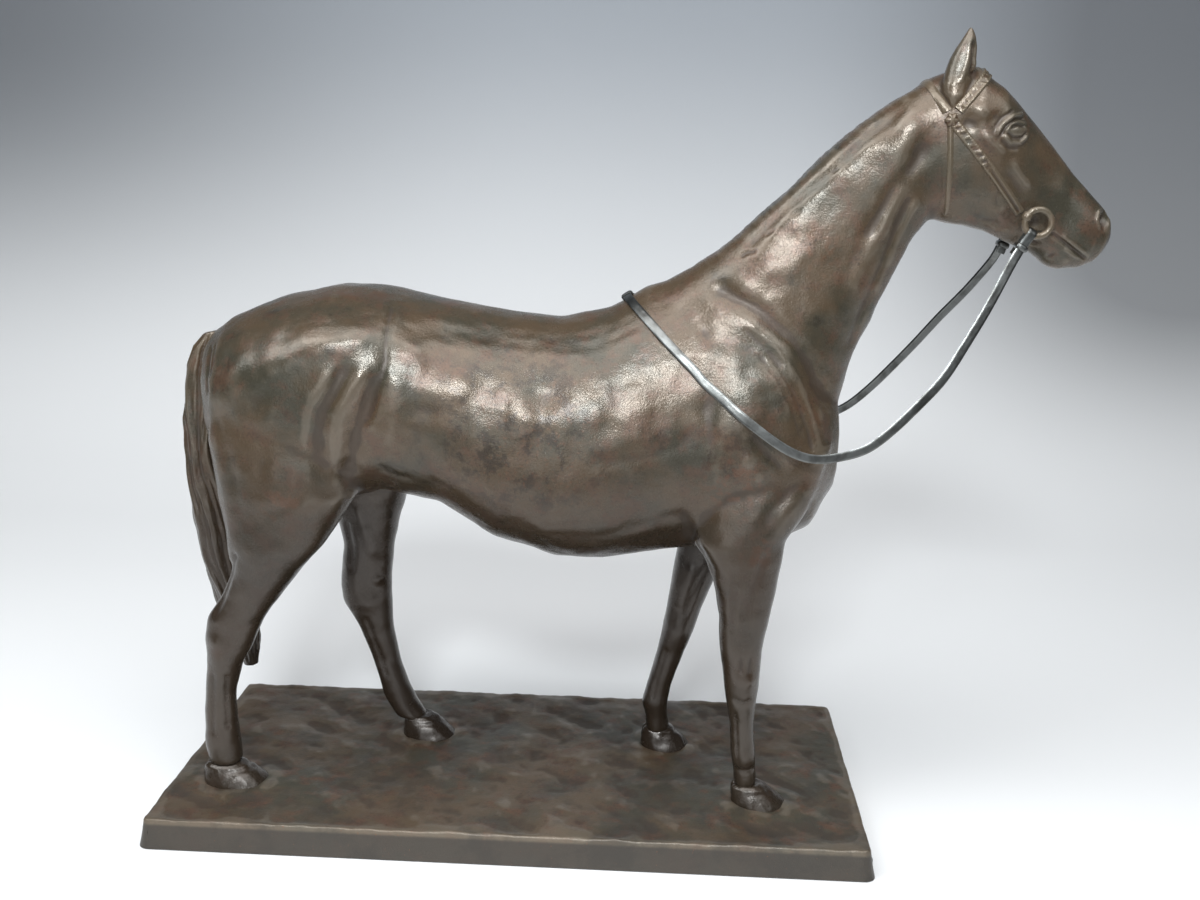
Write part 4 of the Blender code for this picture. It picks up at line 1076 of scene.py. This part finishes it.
def build_plinth():
    """A thin casting with a modelled ground on top, open underneath."""
    half_x = (PLINTH_HIGH.x - PLINTH_LOW.x) / 2 / MM
    half_y = (PLINTH_HIGH.y - PLINTH_LOW.y) / 2 / MM
    top = (PLINTH_HIGH.z - PLINTH_LOW.z) / MM
    top_x, top_y = half_x - PLINTH_FLARE, half_y - PLINTH_FLARE
    cuts_x, cuts_y = PLINTH_CUTS
    bpy.ops.object.select_all(action="DESELECT")
    bpy.ops.mesh.primitive_grid_add(x_subdivisions=cuts_x, y_subdivisions=cuts_y, size=1)
    plinth = bpy.context.object
    plinth.name = "ground_plinth"
    outward = sum(spread for _, spread in PLINTH_SIDE)
    plinth.scale = (2 * (half_x - outward) * MM, 2 * (half_y - outward) * MM, 1)
    plinth.location = at(0, 0, top)
    bpy.ops.object.transform_apply()
    centre = at(0, 0, 0)
    bpy.ops.object.mode_set(mode="EDIT")
    bpy.ops.mesh.select_all(action="SELECT")
    for drop, spread in PLINTH_SIDE:
        bpy.ops.mesh.extrude_region_move(TRANSFORM_OT_translate={"value": (0, 0, -drop * MM)})
        share_x = 1 + spread / half_x
        share_y = 1 + spread / half_y
        bpy.ops.transform.resize(value=(share_x, share_y, 1), center_override=centre)
    bpy.ops.mesh.delete(type="FACE")
    bpy.ops.mesh.select_mode(type="EDGE")
    bpy.ops.mesh.select_all(action="DESELECT")
    bpy.ops.mesh.select_non_manifold()
    bpy.ops.mesh.edge_face_add()
    bpy.ops.mesh.select_mode(type="FACE")
    bpy.ops.mesh.inset(thickness=PLINTH_WALL * MM)
    bpy.ops.mesh.extrude_region_move(TRANSFORM_OT_translate={"value": (0, 0, PLINTH_HOLLOW * MM)})
    bpy.ops.mesh.select_all(action="SELECT")
    bpy.ops.mesh.normals_make_consistent(inside=False)
    bpy.ops.object.mode_set(mode="OBJECT")
    clay = Clay(plinth)
    for p in clay.points:
        x, y, z = p
        out_x, out_y = abs(x) - (top_x - PLINTH_CORNER), abs(y) - (top_y - PLINTH_CORNER)
        if out_x > 0 and out_y > 0:
            far = math.hypot(out_x, out_y)
            reach = max(out_x, out_y)
            p[0] -= math.copysign(out_x * (1 - reach / far), x)
            p[1] -= math.copysign(out_y * (1 - reach / far), y)
        if z > top - 0.01:
            edge = min(top_x - abs(x), top_y - abs(y))
            inner = min(1.0, max(0.0, edge / 5))
            p[2] += ground_height(x, y) * inner - 0.3 + 0.35 * math.exp(-((edge - 1.2) / 1.6) ** 2)
        if z > PLINTH_HOLLOW:
            wave = 0.9 * noise.noise(Vector((x / 16, y / 16, 1))) + 0.4 * noise.noise(Vector((x / 5, y / 5, 2)))
            p[2] += wave * ramp(max(abs(x) - half_x, abs(y) - half_y), -8.0, -3.5)
    clay.look()
    clay.keep_relief(16, 0.35)
    soft_edges(plinth, 55)
    hand_over(plinth, "statue", "plinth_bronze", finish_named("ground_bronze", plinth_finish), "plinth")


# ---------------------------------------------------------------- bridle, bit and rein


def even(values, passes):
    """Smooth a run of values by their neighbours."""
    for _ in range(passes):
        values = [
            (values[max(i - 1, 0)] + values[i] * 2 + values[min(i + 1, len(values) - 1)]) / 4
            for i in range(len(values))
        ]
    return values


def curved(points, step):
    """Points at even steps along a smooth curve through the given ones."""
    dense = []
    for i in range(len(points) - 1):
        p0, p1 = points[max(i - 1, 0)], points[i]
        p2, p3 = points[i + 1], points[min(i + 2, len(points) - 1)]
        for k in range(16):
            t = k / 16
            b = (p2 - p0) * t
            c = (p0 * 2 - p1 * 5 + p2 * 4 - p3) * t * t
            d = (p1 * 3 - p0 - p2 * 3 + p3) * t * t * t
            dense.append((p1 * 2 + b + c + d) / 2)
    dense.append(points[-1])
    far = np.concatenate(([0], np.cumsum([(b - a).length for a, b in zip(dense, dense[1:])])))
    count = max(2, round(far[-1] / step))
    flat = np.array(dense)
    return [Vector([np.interp(s, far, flat[:, k]) for k in range(3)]) for s in np.linspace(0, far[-1], count)]


def ribbon(name, path, outs, width, thickness, surface, columns=10, closed=False):
    """A strip along a path. surface(s, v) is its upper face's rise at s mm along and v, -1 to 1, across."""
    path = np.array([tuple(p) for p in path], float)
    outs = np.array([tuple(o) for o in outs], float)
    far = np.concatenate(([0], np.cumsum(np.linalg.norm(np.diff(path, axis=0), axis=1))))
    rows = max(12, int(far[-1] / 0.45))
    bpy.ops.object.select_all(action="DESELECT")
    bpy.ops.mesh.primitive_grid_add(x_subdivisions=rows, y_subdivisions=columns, size=1)
    piece = bpy.context.object
    piece.name = name
    ahead = np.gradient(path, axis=0)
    if closed:
        ahead[0] = ahead[-1] = (path[1] - path[-2]) / 2
    for v in piece.data.vertices:
        s = (v.co.x + 0.5) * far[-1]
        across = 2 * v.co.y
        middle = np.array([np.interp(s, far, path[:, k]) for k in range(3)])
        out = Vector([np.interp(s, far, outs[:, k]) for k in range(3)])
        forward = Vector([np.interp(s, far, ahead[:, k]) for k in range(3)])
        sideways = forward.cross(out).normalized()
        out = sideways.cross(forward).normalized()
        place = Vector(middle) + sideways * (across * width / 2) + out * surface(s, across)
        v.co = at(*place)
    if closed:
        only(piece)
        bpy.ops.object.mode_set(mode="EDIT")
        bpy.ops.mesh.select_all(action="SELECT")
        bpy.ops.mesh.remove_doubles(threshold=0.05 * MM)
        bpy.ops.object.mode_set(mode="OBJECT")
    probe = piece.data.polygons[len(piece.data.polygons) // 2]
    row = min(range(len(path)), key=lambda i: (at(*path[i]) - probe.center).length)
    if probe.normal.dot(Vector(outs[row])) < 0:
        piece.data.flip_normals()
    apply(piece, "SOLIDIFY", thickness=thickness * MM, offset=-1.0, use_rim=True)
    return piece


def crown(v, rise, power=4):
    """A rounded face's rise at v across."""
    return rise * (1 - abs(v) ** power)


def rope_strap(s, v):
    """Chased face: a twisted cord down each edge and a worn pattern between."""
    edge = math.exp(-(((abs(v) - 0.74) / 0.17) ** 2))
    cord = 0.4 + 0.26 * math.sin(TURN * s / 1.7 + 5 * v)
    sway = 0.25 * math.sin(s / 2.3)
    turns = max(0.0, math.cos(TURN * s / 3.1 + math.sin(s / 4)))
    leaf = 0.4 * turns * math.exp(-(((v - sway) / 0.3) ** 2))
    return crown(v, 0.95, 8) + edge * cord + leaf


def cheek_strap(s, v):
    """Chased above, plain with two ridges below."""
    if s < CHEEKPIECE_CHASED:
        edge = math.exp(-(((abs(v) - 0.7) / 0.2) ** 2))
        blend = min(1.0, (CHEEKPIECE_CHASED - s) / 4)
        swell = 0.65 + 0.35 * math.sin(s / 2.9)
        sway = 0.35 * math.sin(s / 1.9)
        turns = max(0.0, math.sin(TURN * s / 3.6 + 1.5 * math.sin(s / 5) + 2.2 * v))
        knots = 0.8 * swell * turns * math.exp(-(((v - sway) / 0.5) ** 2)) * blend
        twist = (0.25 + 0.22 * math.sin(TURN * s / 1.3 + 4 * v)) * edge
        return crown(v, 0.9, 6) + knots + twist
    ridges = 0.34 * math.exp(-(((abs(v) - 0.5) / 0.22) ** 2))
    return crown(v, 0.85, 6) + ridges


def plain_strap(s, v):
    """Plain face with a low ridge along the middle."""
    return crown(v, 0.75, 3) + 0.12 * math.exp(-((v / 0.3) ** 2))


def surface_of(*names):
    """A tree for finding places on these pieces together."""
    bm = bmesh.new()
    for name in names:
        bm.from_mesh(bpy.data.objects[name].data)
    tree = BVHTree.FromBMesh(bm)
    bm.free()
    return tree


def own(point):
    """A point of the row frame in the horse's millimetres."""
    return Vector(((point.x - MIDDLE_X) / MM, point.y / MM, (point.z - PLINTH_LOW.z) / MM))


def round_head(tree, centre, over, start, steps=60):
    """Where a flat fan of rays leaves the head, from the right side, by way of over, to the left."""
    over = Vector((over[0], 0, over[1])).normalized()
    path, outs = [], []
    for i in range(steps + 1):
        a = math.radians(start + (180 - 2 * start) * i / steps)
        direction = over * math.sin(a) - Vector((0, math.cos(a), 0))
        hit, normal, _, _ = tree.ray_cast(at(centre[0], 0, centre[1]) + direction * 0.1, -direction)
        path.append(own(hit))
        outs.append(normal)
    return even(path, 6), even(outs, 12)


def build_bridle():
    """The three bands round the head, then each cheekpiece with its knot and its loop on the ring."""
    tree = surface_of("head_casting", "neck_casting")
    material = finish_named("chased_bronze", bridle_finish)
    for name, (centre, over, start, width) in BANDS.items():
        path, outs = round_head(tree, centre, over, start)
        surface = rope_strap if name == "browband" else plain_strap
        strap = ribbon(name + "_strap", path, outs, width, STRAP_THICKNESS, surface)
        finish_strap(strap)
        hand_over(strap, "statue", "bronze", material, name)
    for side, sign in (("right", -1), ("left", 1)):
        path, outs = [], []
        for i in range(41):
            place = CHEEKPIECE_FROM.lerp(CHEEKPIECE_TO, i / 40)
            hit, normal, _, _ = tree.ray_cast(at(place.x, sign * 60, place.z), Vector((0, -sign, 0)))
            path.append(own(hit))
            outs.append(normal)
        name = "cheekpiece_" + side + "_strap"
        strap = ribbon(name, even(path, 6), even(outs, 10), STRAP_WIDTH, STRAP_THICKNESS, cheek_strap)
        knot = make_knot(path[1], sign)
        loop = ring_loop(path[-1], sign)
        only(strap, knot, loop)
        bpy.ops.object.join()
        finish_strap(strap)
        hand_over(strap, "statue", "bronze", material, "cheekpiece_" + side)


def finish_strap(strap):
    Clay(strap).keep_relief(6, 0.12)
    soft_edges(strap, 60)


def make_knot(place, sign):
    """The gathered knot where the bridle's four straps meet."""
    bpy.ops.object.select_all(action="DESELECT")
    bpy.ops.mesh.primitive_ico_sphere_add(subdivisions=4, radius=KNOT_RADIUS * MM, location=at(*place))
    knot = bpy.context.object
    bpy.ops.object.transform_apply()
    clay = Clay(knot)
    flat = clay.points - np.array(place)
    turn = np.arctan2(flat[:, 2], flat[:, 0])
    flat[:, 1] = flat[:, 1] * 0.62 + sign * 0.5
    flat *= (1 + 0.09 * np.cos(6 * turn) * ramp(np.hypot(flat[:, 0], flat[:, 2]), 0.8, 2.0))[:, None]
    clay.points = flat + np.array(place)
    clay.look()
    return knot


def ring_loop(end, sign):
    """The cheekpiece's end, bent round the bit ring's wire."""
    x, z = BIT_CENTRE
    up = Vector((end.x - x, 0, end.z - z)).normalized()
    wire = Vector((x, sign * BIT_HALF_SPAN, z)) + up * BIT_RING_RADIUS
    path, outs = [], []
    for i in range(25):
        a = TURN * i / 24
        out = up * math.cos(a) + Vector((0, sign, 0)) * math.sin(a)
        path.append(wire + out * (BIT_WIRE_RADIUS + 0.4))
        outs.append(out)
    return ribbon("loop_form", path, outs, 4.2, 0.9, lambda s, v: crown(v, 0.7, 3), 8, True)


def build_bit():
    """A ring each side, hammered a little out of round."""
    x, z = BIT_CENTRE
    material = finish_named("chased_bronze", bridle_finish)
    for side, sign in (("right", -1), ("left", 1)):
        bpy.ops.object.select_all(action="DESELECT")
        bpy.ops.mesh.primitive_torus_add(
            location=at(x, sign * BIT_HALF_SPAN, z),
            rotation=(TURN / 4, 0, 0),
            major_radius=BIT_RING_RADIUS * MM,
            minor_radius=BIT_RING_WIRE * MM,
            major_segments=72,
            minor_segments=20,
        )
        ring = bpy.context.object
        ring.name = "bit_ring_" + side + "_loop"
        bpy.ops.object.transform_apply()
        clay = Clay(ring)
        clay.dent(4, 0.22, 6)
        clay.keep_relief(10, 0.15)
        soft_edges(ring)
        hand_over(ring, "statue", "bronze", material, "bit_ring_" + side)
    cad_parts["bit_bar"].data.materials.clear()
    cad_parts["bit_bar"].data.materials.append(finish_named("rein_steel", rein_finish))


def laid_on(tree, path):
    """Lower the resting part of a rein on to the body, and give each point's outward way."""
    outs = []
    for i, p in enumerate(path):
        near, normal, _, _ = tree.find_nearest(at(*p))
        height = (at(*p) - near).dot(normal) / MM
        rests = max(0.0, min(1.0, (REIN_RESTS_FROM - p.x) / REIN_LANDS_OVER))
        if height < REIN_REST_GAP:
            rests = 1.0
        path[i] = p + normal * (REIN_REST_GAP - height) * rests
        sideways = Vector((0, math.copysign(1, p.y), 0))
        outs.append((sideways * (1 - rests) + normal * rests).normalized())
    path[2:-2] = even(path, 8)[2:-2]
    return path, even(outs, 12)


def withers(tree):
    """Where the two reins meet over the withers, and the way up there."""
    near, normal, _, _ = tree.find_nearest(at(RIGHT_REIN[-1][0], 0, RIGHT_REIN[-1][1]))
    up = Vector((normal.x, 0, normal.z)).normalized()
    top = own(near)
    return Vector((top.x, 0, top.z)) + up * REIN_REST_GAP, up


def rein_face(s, v):
    """A hand-hammered strip with rounded edges."""
    hammer = 0.05 * noise.noise(Vector((s / 3.5, v, 0))) + 0.05 * noise.noise(Vector((s / 9, 2 * v, 5)))
    return crown(v, 0.35, 6) + 1.0 + hammer


def build_rein():
    """Both reins with their eyes and keepers, and the sleeve that joins them over the withers."""
    shape = bpy.context.scene.horse_shape
    tree = surface_of("barrel_casting", "forehand_casting", "neck_casting")
    material = finish_named("rein_steel", rein_finish)
    top, up = withers(tree)
    x, z = BIT_CENTRE
    width, thickness = shape.rein_width / MM, shape.rein_thickness / MM
    for name, table, sign in (("right_rein", RIGHT_REIN, -1), ("left_rein", LEFT_REIN, 1)):
        down = Vector((table[0][0] - x, 0, table[0][1] - z)).normalized()
        wire = Vector((x, sign * BIT_HALF_SPAN, z)) + down * BIT_RING_RADIUS
        reach = BIT_WIRE_RADIUS + REIN_EYE_GAP
        eye, eye_outs = [], []
        for i in range(17):
            a = math.radians(-90 + 11.25 * i)
            out = -down * math.cos(a) + Vector((0, sign, 0)) * math.sin(a)
            eye.append(wire + out * reach)
            eye_outs.append(out)
        tips = [eye[0] + down * REIN_DOUBLED * k / 6 for k in range(6, 0, -1)]
        first = eye[-1] + down * REIN_DOUBLED
        route = [Vector((px, py, pz)) for px, pz, py in table if pz < first.z - 3]
        path, outs = laid_on(tree, curved([eye[-1], first] + route, 1.5))
        outs[0] = eye_outs[-1]
        path = path[1:] + [top + Vector((0, sign * 0.2, 0))]
        outs = outs[1:] + [up]
        strip = ribbon(
            name + "_strip",
            tips + eye + path,
            [eye_outs[0]] * 6 + eye_outs + outs,
            width,
            thickness,
            rein_face,
            8,
        )
        Clay(strip).keep_relief(6, 0.15)
        soft_edges(strip)
        hand_over(strip, "rein", "rein_metal", material, name)
        across = Vector((down.z, 0, -down.x))
        side = name.split("_")[0]
        middle = wire + down * (REIN_DOUBLED - 4.5)
        height = 2 * reach + 2 * thickness + 0.3
        sleeve = make_band("keeper_" + side, middle, down, across, width + 0.5, height, 3.0)
        hand_over(sleeve, "rein", "rein_metal", material, "rein_keeper_" + side)
    sideways = Vector((0, 1, 0))
    middle = top + up * thickness / 2
    ahead = up.cross(sideways)
    sleeve = make_band("withers_sleeve", middle, sideways, ahead, width + 0.4, thickness + 0.6, 4.2)
    hand_over(sleeve, "rein", "rein_metal", material, "rein_join")


def make_band(name, middle, along, across, width, height, length):
    """A flat band bent round a strap, with rounded corners."""
    up = along.cross(across)
    path, outs = [], []
    for i in range(49):
        a = TURN * i / 48
        c, s = math.cos(a), math.sin(a)
        c, s = math.copysign(abs(c) ** 0.45, c), math.copysign(abs(s) ** 0.45, s)
        path.append(middle + across * c * width / 2 + up * s * height / 2)
        outs.append((across * c * height + up * s * width).normalized())
    band = ribbon(name, path, outs, length, 0.7, lambda s, v: crown(v, 0.75, 4), 8, True)
    Clay(band).keep_relief(5, 0.12)
    soft_edges(band)
    return band


def build_fixings():
    """Studs, washers and nuts under the plinth keep their shape and get worn steel."""
    material = finish_named("fixing_steel", fixing_finish)
    for name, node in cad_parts.items():
        if name.startswith(("stud_", "washer_", "nut_")):
            node.data.materials.clear()
            node.data.materials.append(material)


# ---------------------------------------------------------------- stage

FLOOR_GAP = 0.0004  # metres from the plinth down to the floor
# Each softbox: its place and its width and height in metres
SOFTBOXES = {
    "key": ((0, -1230, 1060), (0.34, 0.2)),
    "front": ((-80, -1300, 400), (1.1, 0.7)),
    "head": ((700, -700, 900), (0.6, 0.6)),
    "rump": ((-750, -420, 1050), (0.5, 0.5)),
}
CAMERA_PLACE = (71, -602, 346)
CAMERA_YAW, CAMERA_PITCH, CAMERA_ROLL = -2.73, 13.92, 1.04  # degrees to the right, down and anticlockwise


def soft_light(name, place, target, size, power, colour=(1, 1, 1)):
    data = bpy.data.lights.new(name, "AREA")
    data.color = colour
    data.shape = "RECTANGLE"
    data.size, data.size_y = size
    data.energy = power
    light = bpy.data.objects.new(name, data)
    light.location = at(*place)
    light.rotation_euler = (at(*target) - at(*place)).to_track_quat("-Z", "Y").to_euler()
    bpy.context.scene.collection.objects.link(light)


def build_stage():
    """A white floor that sweeps up into a grey backdrop, with painted shade in the backdrop's upper corners and
    on the floor in front, soft lights and the camera.
    """
    studio = bpy.context.scene.horse_studio
    bpy.ops.object.select_all(action="DESELECT")
    bpy.ops.mesh.primitive_grid_add(x_subdivisions=8, y_subdivisions=40, size=1)
    sweep = bpy.context.object
    sweep.name = "backdrop_sweep"
    run, bend, back, rise = 2.6, 0.5, 0.95, 1.6
    quarter = TURN / 4 * bend
    for v in sweep.data.vertices:
        s = (v.co.y + 0.5) * (run + quarter + rise)
        if s < run:
            y, z = back - bend - run + s, 0.0
        elif s < run + quarter:
            a = (s - run) / bend
            y, z = back - bend + bend * math.sin(a), bend - bend * math.cos(a)
        else:
            y, z = back, bend + s - run - quarter
        v.co = (v.co.x * 7, y, PLINTH_LOW.z - FLOOR_GAP + z)
    soft_edges(sweep, 60)
    f = Finish("backdrop_paper")
    across, height = f.axis("X"), f.axis("Z")
    # Painted shade: the backdrop darker in its upper corners, reaching lower on the right.
    left = f.band(0 - across, 0.1, 0.9) * f.band(height, 0.02, 0.5)
    right = f.band(across, 0.15, 0.65) * f.band(height, -0.03, 0.24)
    corners = (left + right * 1.15).limited()
    colour = f.mix(f.band(height, 0.0, 0.6), studio.floor_colour, studio.backdrop_colour)
    colour = f.mix(corners * 0.75, colour, studio.painted_corner_shade)
    # Painted shade on the floor in front, out of the light.
    colour = f.mix(f.band(0 - f.axis("Y"), 0.14, 0.6), colour, studio.table_colour)
    sweep.data.materials.append(f.set(Base_Color=colour, Roughness=0.9))

    for name, (place, size) in SOFTBOXES.items():
        power = getattr(studio, name + "_power")
        soft_light(name + "_softbox", place, (20, 0, 190), size, power, studio.light_colour)
    soft_light("floor_softbox", (0, -420, 1300), (0, 60, 0), (1.5, 0.8), studio.floor_power)
    world = bpy.data.worlds.new("studio_air")
    world.use_nodes = True
    air = world.node_tree.nodes["Background"]
    air.inputs["Color"].default_value = (*studio.air_colour, 1)
    air.inputs["Strength"].default_value = studio.air_strength
    bpy.context.scene.world = world
    bpy.context.scene.view_settings.view_transform = "Standard"

    yaw, pitch, roll = map(math.radians, (CAMERA_YAW, CAMERA_PITCH, CAMERA_ROLL))
    forward = Vector((math.sin(yaw) * math.cos(pitch), math.cos(yaw) * math.cos(pitch), -math.sin(pitch)))
    level = Vector((math.cos(yaw), -math.sin(yaw), 0))
    rise = level.cross(forward)
    right = level * math.cos(roll) + rise * math.sin(roll)
    up = rise * math.cos(roll) - level * math.sin(roll)
    data = bpy.data.cameras.new("studio_camera")
    data.sensor_width = 36
    data.lens = studio.lens
    camera = bpy.data.objects.new("studio_camera", data)
    camera.matrix_world = Matrix((right, up, -forward)).transposed().to_4x4()
    camera.location = at(*CAMERA_PLACE)
    bpy.context.scene.collection.objects.link(camera)
    bpy.context.scene.camera = camera


# ---------------------------------------------------------------- add-on


def colour_property(name, description, default):
    return bpy.props.FloatVectorProperty(
        name=name, description=description, default=default, subtype="COLOR", size=3, min=0.0, max=1.0
    )


def share_property(name, description, default):
    return bpy.props.FloatProperty(
        name=name, description=description, default=default, min=0.0, max=1.0, subtype="FACTOR"
    )


def length_property(name, description, default, least):
    return bpy.props.FloatProperty(
        name=name, description=description, default=default, min=least, unit="LENGTH"
    )


def power_property(name, description, default):
    return bpy.props.FloatProperty(name=name, description=description, default=default, min=0.0, unit="POWER")


class HorseBronze(bpy.types.PropertyGroup):
    """The bronze's patina"""

    brown: colour_property("Brown", "Main colour of the patina", (0.105, 0.071, 0.042))
    umber: colour_property("Umber", "Second colour of the patina, in broad clouds", (0.06, 0.054, 0.037))
    russet: colour_property("Russet", "Redder patches", (0.115, 0.058, 0.034))
    # Dark also gives the painted shade low down on the horse, on its left (far) side's legs and in each
    # nostril.
    dark: colour_property("Dark", "Fine dark speckle", (0.03, 0.02, 0.013))
    hollow: colour_property("Hollows", "Patina left in the hollows", (0.045, 0.03, 0.021))
    worn: colour_property("Worn edges", "Metal rubbed on the ridges", (0.2, 0.165, 0.125))
    brass: colour_property("Brass", "Brightest rubbed metal of the bridle", (0.16, 0.12, 0.065))
    rust: colour_property("Rust", "Red-brown spots", (0.19, 0.075, 0.035))
    # Ground also gives the painted shade on the plinth's sides.
    ground: colour_property("Ground", "Dark mottle on the plinth", (0.034, 0.029, 0.024))
    metal: share_property("Metal", "How metallic the patina is", 0.32)
    wax: share_property("Wax", "Clear wax over the patina", 0.12)
    wax_roughness: share_property("Wax roughness", "Dullness of the wax", 0.3)
    gloss: share_property("Gloss", "Strength of the patina's reflections", 0.7)
    roughness: share_property("Roughness", "Dullness of the patina", 0.27)


class HorseSteel(bpy.types.PropertyGroup):
    """The rein's and fixings' steel"""

    rein_colour: colour_property("Rein", "Grey of the rein", (0.19, 0.195, 0.19))
    rein_dark: colour_property("Rein dark", "Darker clouds on the rein", (0.1, 0.1, 0.095))
    rein_rust: colour_property("Rein rust", "Brown specks on the steel", (0.13, 0.08, 0.05))
    fixing_colour: colour_property("Fixings", "Steel of the studs, washers and nuts", (0.42, 0.42, 0.43))
    rein_roughness: share_property("Rein roughness", "Dullness of the rein", 0.34)


class HorseShape(bpy.types.PropertyGroup):
    """Sizes and fineness of the modelling"""

    body_voxel: length_property("Body fineness", "Mesh size on the body", 0.00105, 0.0005)
    head_voxel: length_property("Head fineness", "Mesh size on the head", 0.0005, 0.0003)
    rein_width: length_property("Rein width", "Width of the rein's strip", 0.0045, 0.002)
    rein_thickness: length_property("Rein thickness", "Thickness of the strip", 0.0013, 0.0005)
    relief: bpy.props.FloatProperty(
        name="Relief", description="Strength of the modelled muscles and lines", default=1.0, min=0.0, max=2.0
    )


class HorseStudio(bpy.types.PropertyGroup):
    """Stage, lights and camera"""

    floor_colour: colour_property("Floor", "Colour of the floor", (0.93, 0.93, 0.93))
    backdrop_colour: colour_property("Backdrop", "Colour of the backdrop's top", (0.36, 0.385, 0.42))
    # The painted shade in the backdrop's upper corners.
    painted_corner_shade: colour_property("Corners", "Colour of the backdrop's upper corners", (0.125, 0.13, 0.14))
    table_colour: colour_property("Table", "Colour of the floor in front, out of the light", (0.25, 0.25, 0.25))
    light_colour: colour_property("Light", "Colour of the softboxes on the horse", (0.92, 0.97, 1.0))
    air_colour: colour_property("Air", "Colour of the light from all round", (0.9, 0.94, 1.0))
    air_strength: share_property("Air strength", "Light from all round", 0.1)
    key_power: power_property("Key", "Power of the main softbox", 13)
    front_power: power_property("Front light", "Broad softbox beside the camera", 3.6)
    head_power: power_property("Head light", "Softbox at the head", 1.6)
    rump_power: power_property("Rump light", "Softbox at the rump", 4)
    floor_power: power_property("Floor light", "Softbox over the floor and backdrop", 12.7)
    lens: bpy.props.FloatProperty(
        name="Lens", description="Focal length", default=35.04, min=10, subtype="DISTANCE_CAMERA"
    )


class HORSE_OT_body(bpy.types.Operator):
    """Model the trunk, neck and legs and cut them at the casting's joints"""

    bl_idname = "horse.body"
    bl_label = "Body castings"

    def execute(self, context):
        build_body()
        return {"FINISHED"}


class HORSE_OT_head(bpy.types.Operator):
    """Model the head and the ears"""

    bl_idname = "horse.head"
    bl_label = "Head and ears"

    def execute(self, context):
        build_head()
        return {"FINISHED"}


class HORSE_OT_tail(bpy.types.Operator):
    """Carve the tail"""

    bl_idname = "horse.tail"
    bl_label = "Tail"

    def execute(self, context):
        build_tail()
        return {"FINISHED"}


class HORSE_OT_hooves(bpy.types.Operator):
    """Model the four hooves"""

    bl_idname = "horse.hooves"
    bl_label = "Hooves"

    def execute(self, context):
        build_hooves()
        return {"FINISHED"}


class HORSE_OT_plinth(bpy.types.Operator):
    """Model the ground plinth"""

    bl_idname = "horse.plinth"
    bl_label = "Plinth"

    def execute(self, context):
        build_plinth()
        return {"FINISHED"}


class HORSE_OT_bridle(bpy.types.Operator):
    """Lay the bridle's straps on the head"""

    bl_idname = "horse.bridle"
    bl_label = "Bridle"

    def execute(self, context):
        build_bridle()
        return {"FINISHED"}


class HORSE_OT_bit(bpy.types.Operator):
    """Make the bit's two rings"""

    bl_idname = "horse.bit"
    bl_label = "Bit"

    def execute(self, context):
        build_bit()
        return {"FINISHED"}


class HORSE_OT_rein(bpy.types.Operator):
    """Hang the rein on the bit and lay it over the withers"""

    bl_idname = "horse.rein"
    bl_label = "Rein"

    def execute(self, context):
        build_rein()
        return {"FINISHED"}


class HORSE_OT_fixings(bpy.types.Operator):
    """Finish the studs, washers and nuts under the plinth"""

    bl_idname = "horse.fixings"
    bl_label = "Fixings"

    def execute(self, context):
        build_fixings()
        return {"FINISHED"}


class HORSE_OT_stage(bpy.types.Operator):
    """Set up the floor, backdrop, lights and camera"""

    bl_idname = "horse.stage"
    bl_label = "Stage"

    def execute(self, context):
        build_stage()
        return {"FINISHED"}


OPERATORS = (
    HORSE_OT_stage,
    HORSE_OT_body,
    HORSE_OT_head,
    HORSE_OT_tail,
    HORSE_OT_hooves,
    HORSE_OT_plinth,
    HORSE_OT_bridle,
    HORSE_OT_bit,
    HORSE_OT_rein,
    HORSE_OT_fixings,
)
GROUPS = {
    "horse_bronze": HorseBronze,
    "horse_steel": HorseSteel,
    "horse_shape": HorseShape,
    "horse_studio": HorseStudio,
}


class HORSE_PT_panel(bpy.types.Panel):
    """Settings and build steps of the bronze horse"""

    bl_idname = "HORSE_PT_panel"
    bl_label = "Bronze Horse"
    bl_space_type = "VIEW_3D"
    bl_region_type = "UI"
    bl_category = "Bronze Horse"

    def draw(self, context):
        for name, group in GROUPS.items():
            box = self.layout.box()
            box.label(text=group.__doc__)
            for key in group.__annotations__:
                box.prop(getattr(context.scene, name), key)
        for operator in OPERATORS:
            self.layout.operator(operator.bl_idname)


def register():
    for group in GROUPS.values():
        bpy.utils.register_class(group)
    for name, group in GROUPS.items():
        setattr(bpy.types.Scene, name, bpy.props.PointerProperty(type=group))
    for operator in OPERATORS:
        bpy.utils.register_class(operator)
    bpy.utils.register_class(HORSE_PT_panel)


def unregister():
    bpy.utils.unregister_class(HORSE_PT_panel)
    for operator in reversed(OPERATORS):
        bpy.utils.unregister_class(operator)
    for name, group in GROUPS.items():
        delattr(bpy.types.Scene, name)
        bpy.utils.unregister_class(group)


def main():
    register()
    for operator in OPERATORS:
        section, name = operator.bl_idname.split(".")
        getattr(getattr(bpy.ops, section), name)()


if __name__ == "__main__":
    main()
